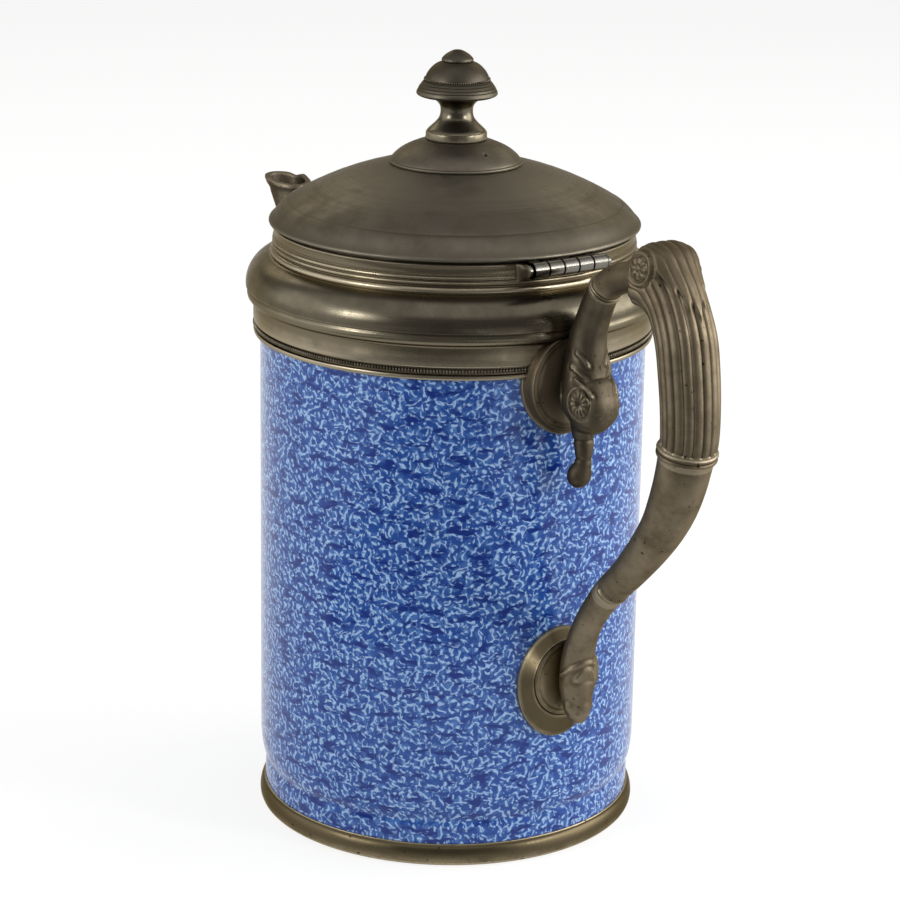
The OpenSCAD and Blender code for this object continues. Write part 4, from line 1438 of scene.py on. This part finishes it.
    def build(self) -> None:
        """Makes the handle's pieces from top to bottom."""
        turn = self.path.span(self.knee - 1, self.knee)
        aim = (math.cos(math.radians(3)), math.sin(math.radians(3)))
        self.path.steer(turn, aim, self.path.at[turn] - (self.knee - 1))
        self.pads()
        self.scroll()
        humps = [(0, 0.0), (0.04, 0.3), (0.16, 0.5), (0.3, 0.36), (0.4, 0.2), (0.5, 0.3), (0.62, 0.42),
                 (0.8, 0.5), (0.94, 0.4), (1, 0)]
        self.collar("elbow_ring_turned", "elbow_ring", self.elbow, 1.6, humps)
        self.plain("knee_bar", "handle_knee", self.elbow + 0.3, self.knee)
        self.grip()
        pair = [(0, 0.0), (0.04, 0.3), (0.14, 0.58), (0.27, 0.66), (0.4, 0.55), (0.47, 0.3), (0.5, 0.15),
                (0.53, 0.3), (0.6, 0.5), (0.73, 0.6), (0.86, 0.5), (0.96, 0.3), (1, 0)]
        self.collar("grip_ring_turned", "grip_ring", self.ring, 3.2, pair)
        self.lower()
        self.foot()
        self.paint(("handle_studs", "handle_washers", "handle_nuts"), self.finishes.steel)


@dataclass
class Spout(Assembly):
    """The cast gooseneck spout on its flange, with the sieve behind it."""

    wall: float = 1.5
    path: Path = field(default_factory=lambda: Path(SPOUT))

    def build(self) -> None:
        """Makes the flange and the tube with its lipped mouth."""
        plate = Pad((18.5, 21), 54, 15.2, 54, 65, 11.7, (
            (0, 0, -0.5), (0.03, 0, -0.1), (0.1, 0, 0.1), (0.3, 0, 0.15), (0.36, 0, -0.05),
            (0.42, 0, 0.1), (0.6, 0.05, 0.1), (0.75, 0.3, 0), (0.88, 0.7, 0), (0.96, 0.92, 0),
            (1, 1, -0.12)), side=-1.0)
        self.keep("spout_plate", plate.shape(), (self.finishes.pad,), ("spout_flange",), wear=0.3)
        last = len(SPOUT) - 1
        which = self.path.span(0, last)
        at = self.path.at[which]
        aim = (math.sin(math.radians(4)), math.cos(math.radians(4)))
        self.path.steer(which, aim, step(at, last - 3, last))
        around = 144
        turns = np.degrees(np.linspace(0, 2 * np.pi, around, endpoint=False))[None, :]
        away = np.minimum(turns, 360 - turns)
        row = at[:, None]
        # petals under the rim on the side that faces the pot, and a bead round the rim
        petal = np.abs(np.cos(np.radians((turns - 180) / 22 * 180))) * step(away, 110, 125)
        lift = 0.45 * petal * step(row, 11.2, 12.6) * (1 - step(row, 12.9, 13.3))
        lift = lift + 0.35 * step(row, 13.55, 13.75) - 0.2 * bump(row, 13.45, 0.08)
        outer = self.path.rings(which, around, lift)
        inner = self.path.rings(which, around, np.full((len(which), around), -self.wall))
        dip = (0.65 * bump(away, 86, 14) - 0.55 * bump(away, 62, 12)) * step(row, last - 1.2, last)
        for side in (outer, inner):
            side[..., 2] += dip
        rings = np.concatenate([outer, inner[::-1]])
        self.keep("spout_tube", lofted(rings, True), (self.finishes.dull,), ("spout_neck",), wear=0.3)
        self.paint(("spout_sieve",), self.finishes.steel)


# Camera, light and floor


@dataclass(frozen=True)
class Softbox:
    """A flat light that faces the pot; angles in degrees from the camera's direction."""

    name: str
    azimuth: float
    elevation: float
    distance: float
    size: tuple[float, float]
    radiance: float


@dataclass
class Studio:
    """The photograph's camera, a white floor and world, and soft lights at the sides."""

    camera_at: tuple[float, float, float] = (718.32, -484.91, 375.16)
    target: tuple[float, float, float] = (-0.185, -0.274, 115.64)
    lens: float = 114.69
    roll: float = 0.957
    ambient: float = 0.5
    lights: tuple[Softbox, ...] = (
        Softbox("key_left", -56, 20, 1.2, (0.34, 0.28), 16.0),
        Softbox("key_right", 62, 20, 1.2, (0.2, 0.28), 26.0),
        Softbox("side_left", -95, 18, 1.3, (0.9, 0.9), 0.8),
        Softbox("side_right", 95, 18, 1.3, (0.9, 0.9), 4.6),
        Softbox("back_left", -150, 35, 1.5, (0.6, 0.6), 2.0),
        Softbox("back_right", 150, 35, 1.5, (0.6, 0.6), 2.0),
    )

    def camera(self) -> None:
        """Sets the camera where the photograph was taken from."""
        data = bpy.data.cameras.new("camera")
        data.lens = self.lens
        data.sensor_width = 36.0
        eye, aim = Vector(self.camera_at) * MM, Vector(self.target) * MM
        ahead = (aim - eye).normalized()
        right = ahead.cross(Vector((0, 0, 1))).normalized()
        up = right.cross(ahead)
        tilt = math.radians(self.roll)
        side = right * math.cos(tilt) + up * math.sin(tilt)
        top = up * math.cos(tilt) - right * math.sin(tilt)
        made = bpy.data.objects.new("camera", data)
        made.matrix_world = Matrix.Translation(eye) @ Matrix((side, top, -ahead)).transposed().to_4x4()
        bpy.context.scene.collection.objects.link(made)
        bpy.context.scene.camera = made

    def spot(self, azimuth: float, elevation: float, distance: float) -> Vector:
        """A place round the pot.

        Args:
            azimuth: The angle from the camera's direction, in degrees.
            elevation: The angle above the floor, in degrees.
            distance: Metres from the pot's middle.

        Returns:
            The place, in metres.
        """
        base = math.atan2(self.camera_at[1], self.camera_at[0]) + math.radians(azimuth)
        flat = distance * math.cos(math.radians(elevation))
        rise = distance * math.sin(math.radians(elevation))
        return Vector((flat * math.cos(base), flat * math.sin(base), 0.12 + rise))

    def shine(self) -> None:
        """Hangs the soft lights."""
        for box in self.lights:
            data = bpy.data.lights.new(box.name, "AREA")
            data.shape = "RECTANGLE"
            data.size, data.size_y = box.size
            data.energy = box.radiance * math.pi * box.size[0] * box.size[1]
            made = bpy.data.objects.new(box.name, data)
            made.location = self.spot(box.azimuth, box.elevation, box.distance)
            made.rotation_euler = (made.location - Vector((0, 0, 0.12))).to_track_quat("Z", "Y").to_euler()
            made.visible_camera = False
            bpy.context.scene.collection.objects.link(made)

    def seen(self, tree: NodeTree) -> Socket:
        """Tells rays that show a surface from rays that light one.

        Args:
            tree: The material's or the world's tree.

        Returns:
            1 for rays from the camera, a mirror or a glass, and 0 for the rest.
        """
        path = put(tree, "ShaderNodeLightPath").outputs
        both = calc(tree, "MAXIMUM", path["Is Camera Ray"], path["Is Glossy Ray"])
        return calc(tree, "MAXIMUM", both, path["Is Transmission Ray"])

    def world(self) -> None:
        """A world that shows white and lights the pot softly."""
        made = bpy.data.worlds.new("studio")
        made.use_nodes = True
        tree = made.node_tree
        level = ranged(tree, self.seen(tree), 0.0, 1.0, self.ambient)
        tree.links.new(level, tree.nodes["Background"].inputs["Strength"])
        tree.nodes["Background"].inputs["Color"].default_value = (1, 1, 1, 1)
        bpy.context.scene.world = made

    def floor(self) -> None:
        """A round white floor that keeps the pot's shadow."""
        paper, tree = glowing("studio_paper")
        lit = put(tree, "ShaderNodeBsdfDiffuse", {"Color": linear("#F4F4F2")}).outputs[0]
        glow = put(tree, "ShaderNodeEmission", {"Color": (1, 1, 1, 1), "Strength": 1.08}).outputs[0]
        part = calc(tree, "MULTIPLY", self.seen(tree), 0.72)
        mixed = put(tree, "ShaderNodeMixShader", {0: part, 1: lit, 2: glow}).outputs[0]
        tree.links.new(mixed, tree.nodes["Material Output"].inputs["Surface"])
        disc = turned([(0, -0.02), (3000, -0.02), (3000, -4), (0, -4)], 96).mesh("floor")
        disc.materials.append(paper)
        made = bpy.data.objects.new("floor", disc)
        bpy.context.scene.collection.objects.link(made)

    def flag(self, name: str, colour: str, middle: float, half: float, rows: Outline,
             reach: float = 1e4) -> None:
        """A cloth that only reflections see.

        Args:
            name: The cloth's name.
            colour: The colour that it shows.
            middle: The direction of its middle, in degrees from the camera's direction.
            half: Half the angle that it spans.
            rows: Distance from the pot's axis and height of its edges and bends, in millimetres.
            reach: The most that it extends to either side, in millimetres.
        """
        cloth, tree = glowing(name)
        shade = put(tree, "ShaderNodeEmission", {"Color": linear(colour), "Strength": 1.0}).outputs[0]
        tree.links.new(shade, tree.nodes["Material Output"].inputs["Surface"])
        base = math.atan2(self.camera_at[1], self.camera_at[0]) + math.radians(middle)
        wide = 25
        points = []
        for away, high in rows:
            most = min(math.radians(half), math.asin(min(1.0, reach / away)))
            points += [(away * math.cos(t), away * math.sin(t), high)
                       for t in base + np.linspace(-most, most, wide)]
        faces = [(i * wide + j, i * wide + j + 1, (i + 1) * wide + j + 1, (i + 1) * wide + j)
                 for i in range(len(rows) - 1) for j in range(wide - 1)]
        sheet = Shape(np.array(points), faces).mesh(name)
        sheet.materials.append(cloth)
        made = bpy.data.objects.new(name, sheet)
        for kind in ("camera", "diffuse", "transmission", "volume_scatter", "shadow"):
            setattr(made, "visible_" + kind, False)
        bpy.context.scene.collection.objects.link(made)

    def build(self) -> None:
        """Sets up camera, world, lights, floor and flags."""
        bpy.context.scene.view_settings.view_transform = "Standard"
        self.camera()
        self.world()
        self.shine()
        self.floor()
        floor_rows = tuple((away, 1.0) for away in (240, 330, 420, 600, 900, 1500))
        self.flag("flag_floor", "#7E7E7E", -8, 62, floor_rows, reach=285)
        self.flag("flag_front", "#7C7C7C", -6, 50, ((1500, 1), (1500, 1250)))
        self.flag("flag_back", "#A9A9A9", 180, 70, tuple(
            (1700 * math.cos(math.radians(rise)), 120 + 1700 * math.sin(math.radians(rise)))
            for rise in (14, 30, 50, 70, 88)))


def main() -> None:
    logging.basicConfig(level=logging.INFO, format="%(name)s %(message)s")
    Studio().build()
    finishes = Finishes()
    for kind in (Vessel, Collar, Hinge, Handle, Spout, Lid):
        LOG.info("%s", kind.__name__)
        kind(finishes).build()


if __name__ == "__main__":
    main()
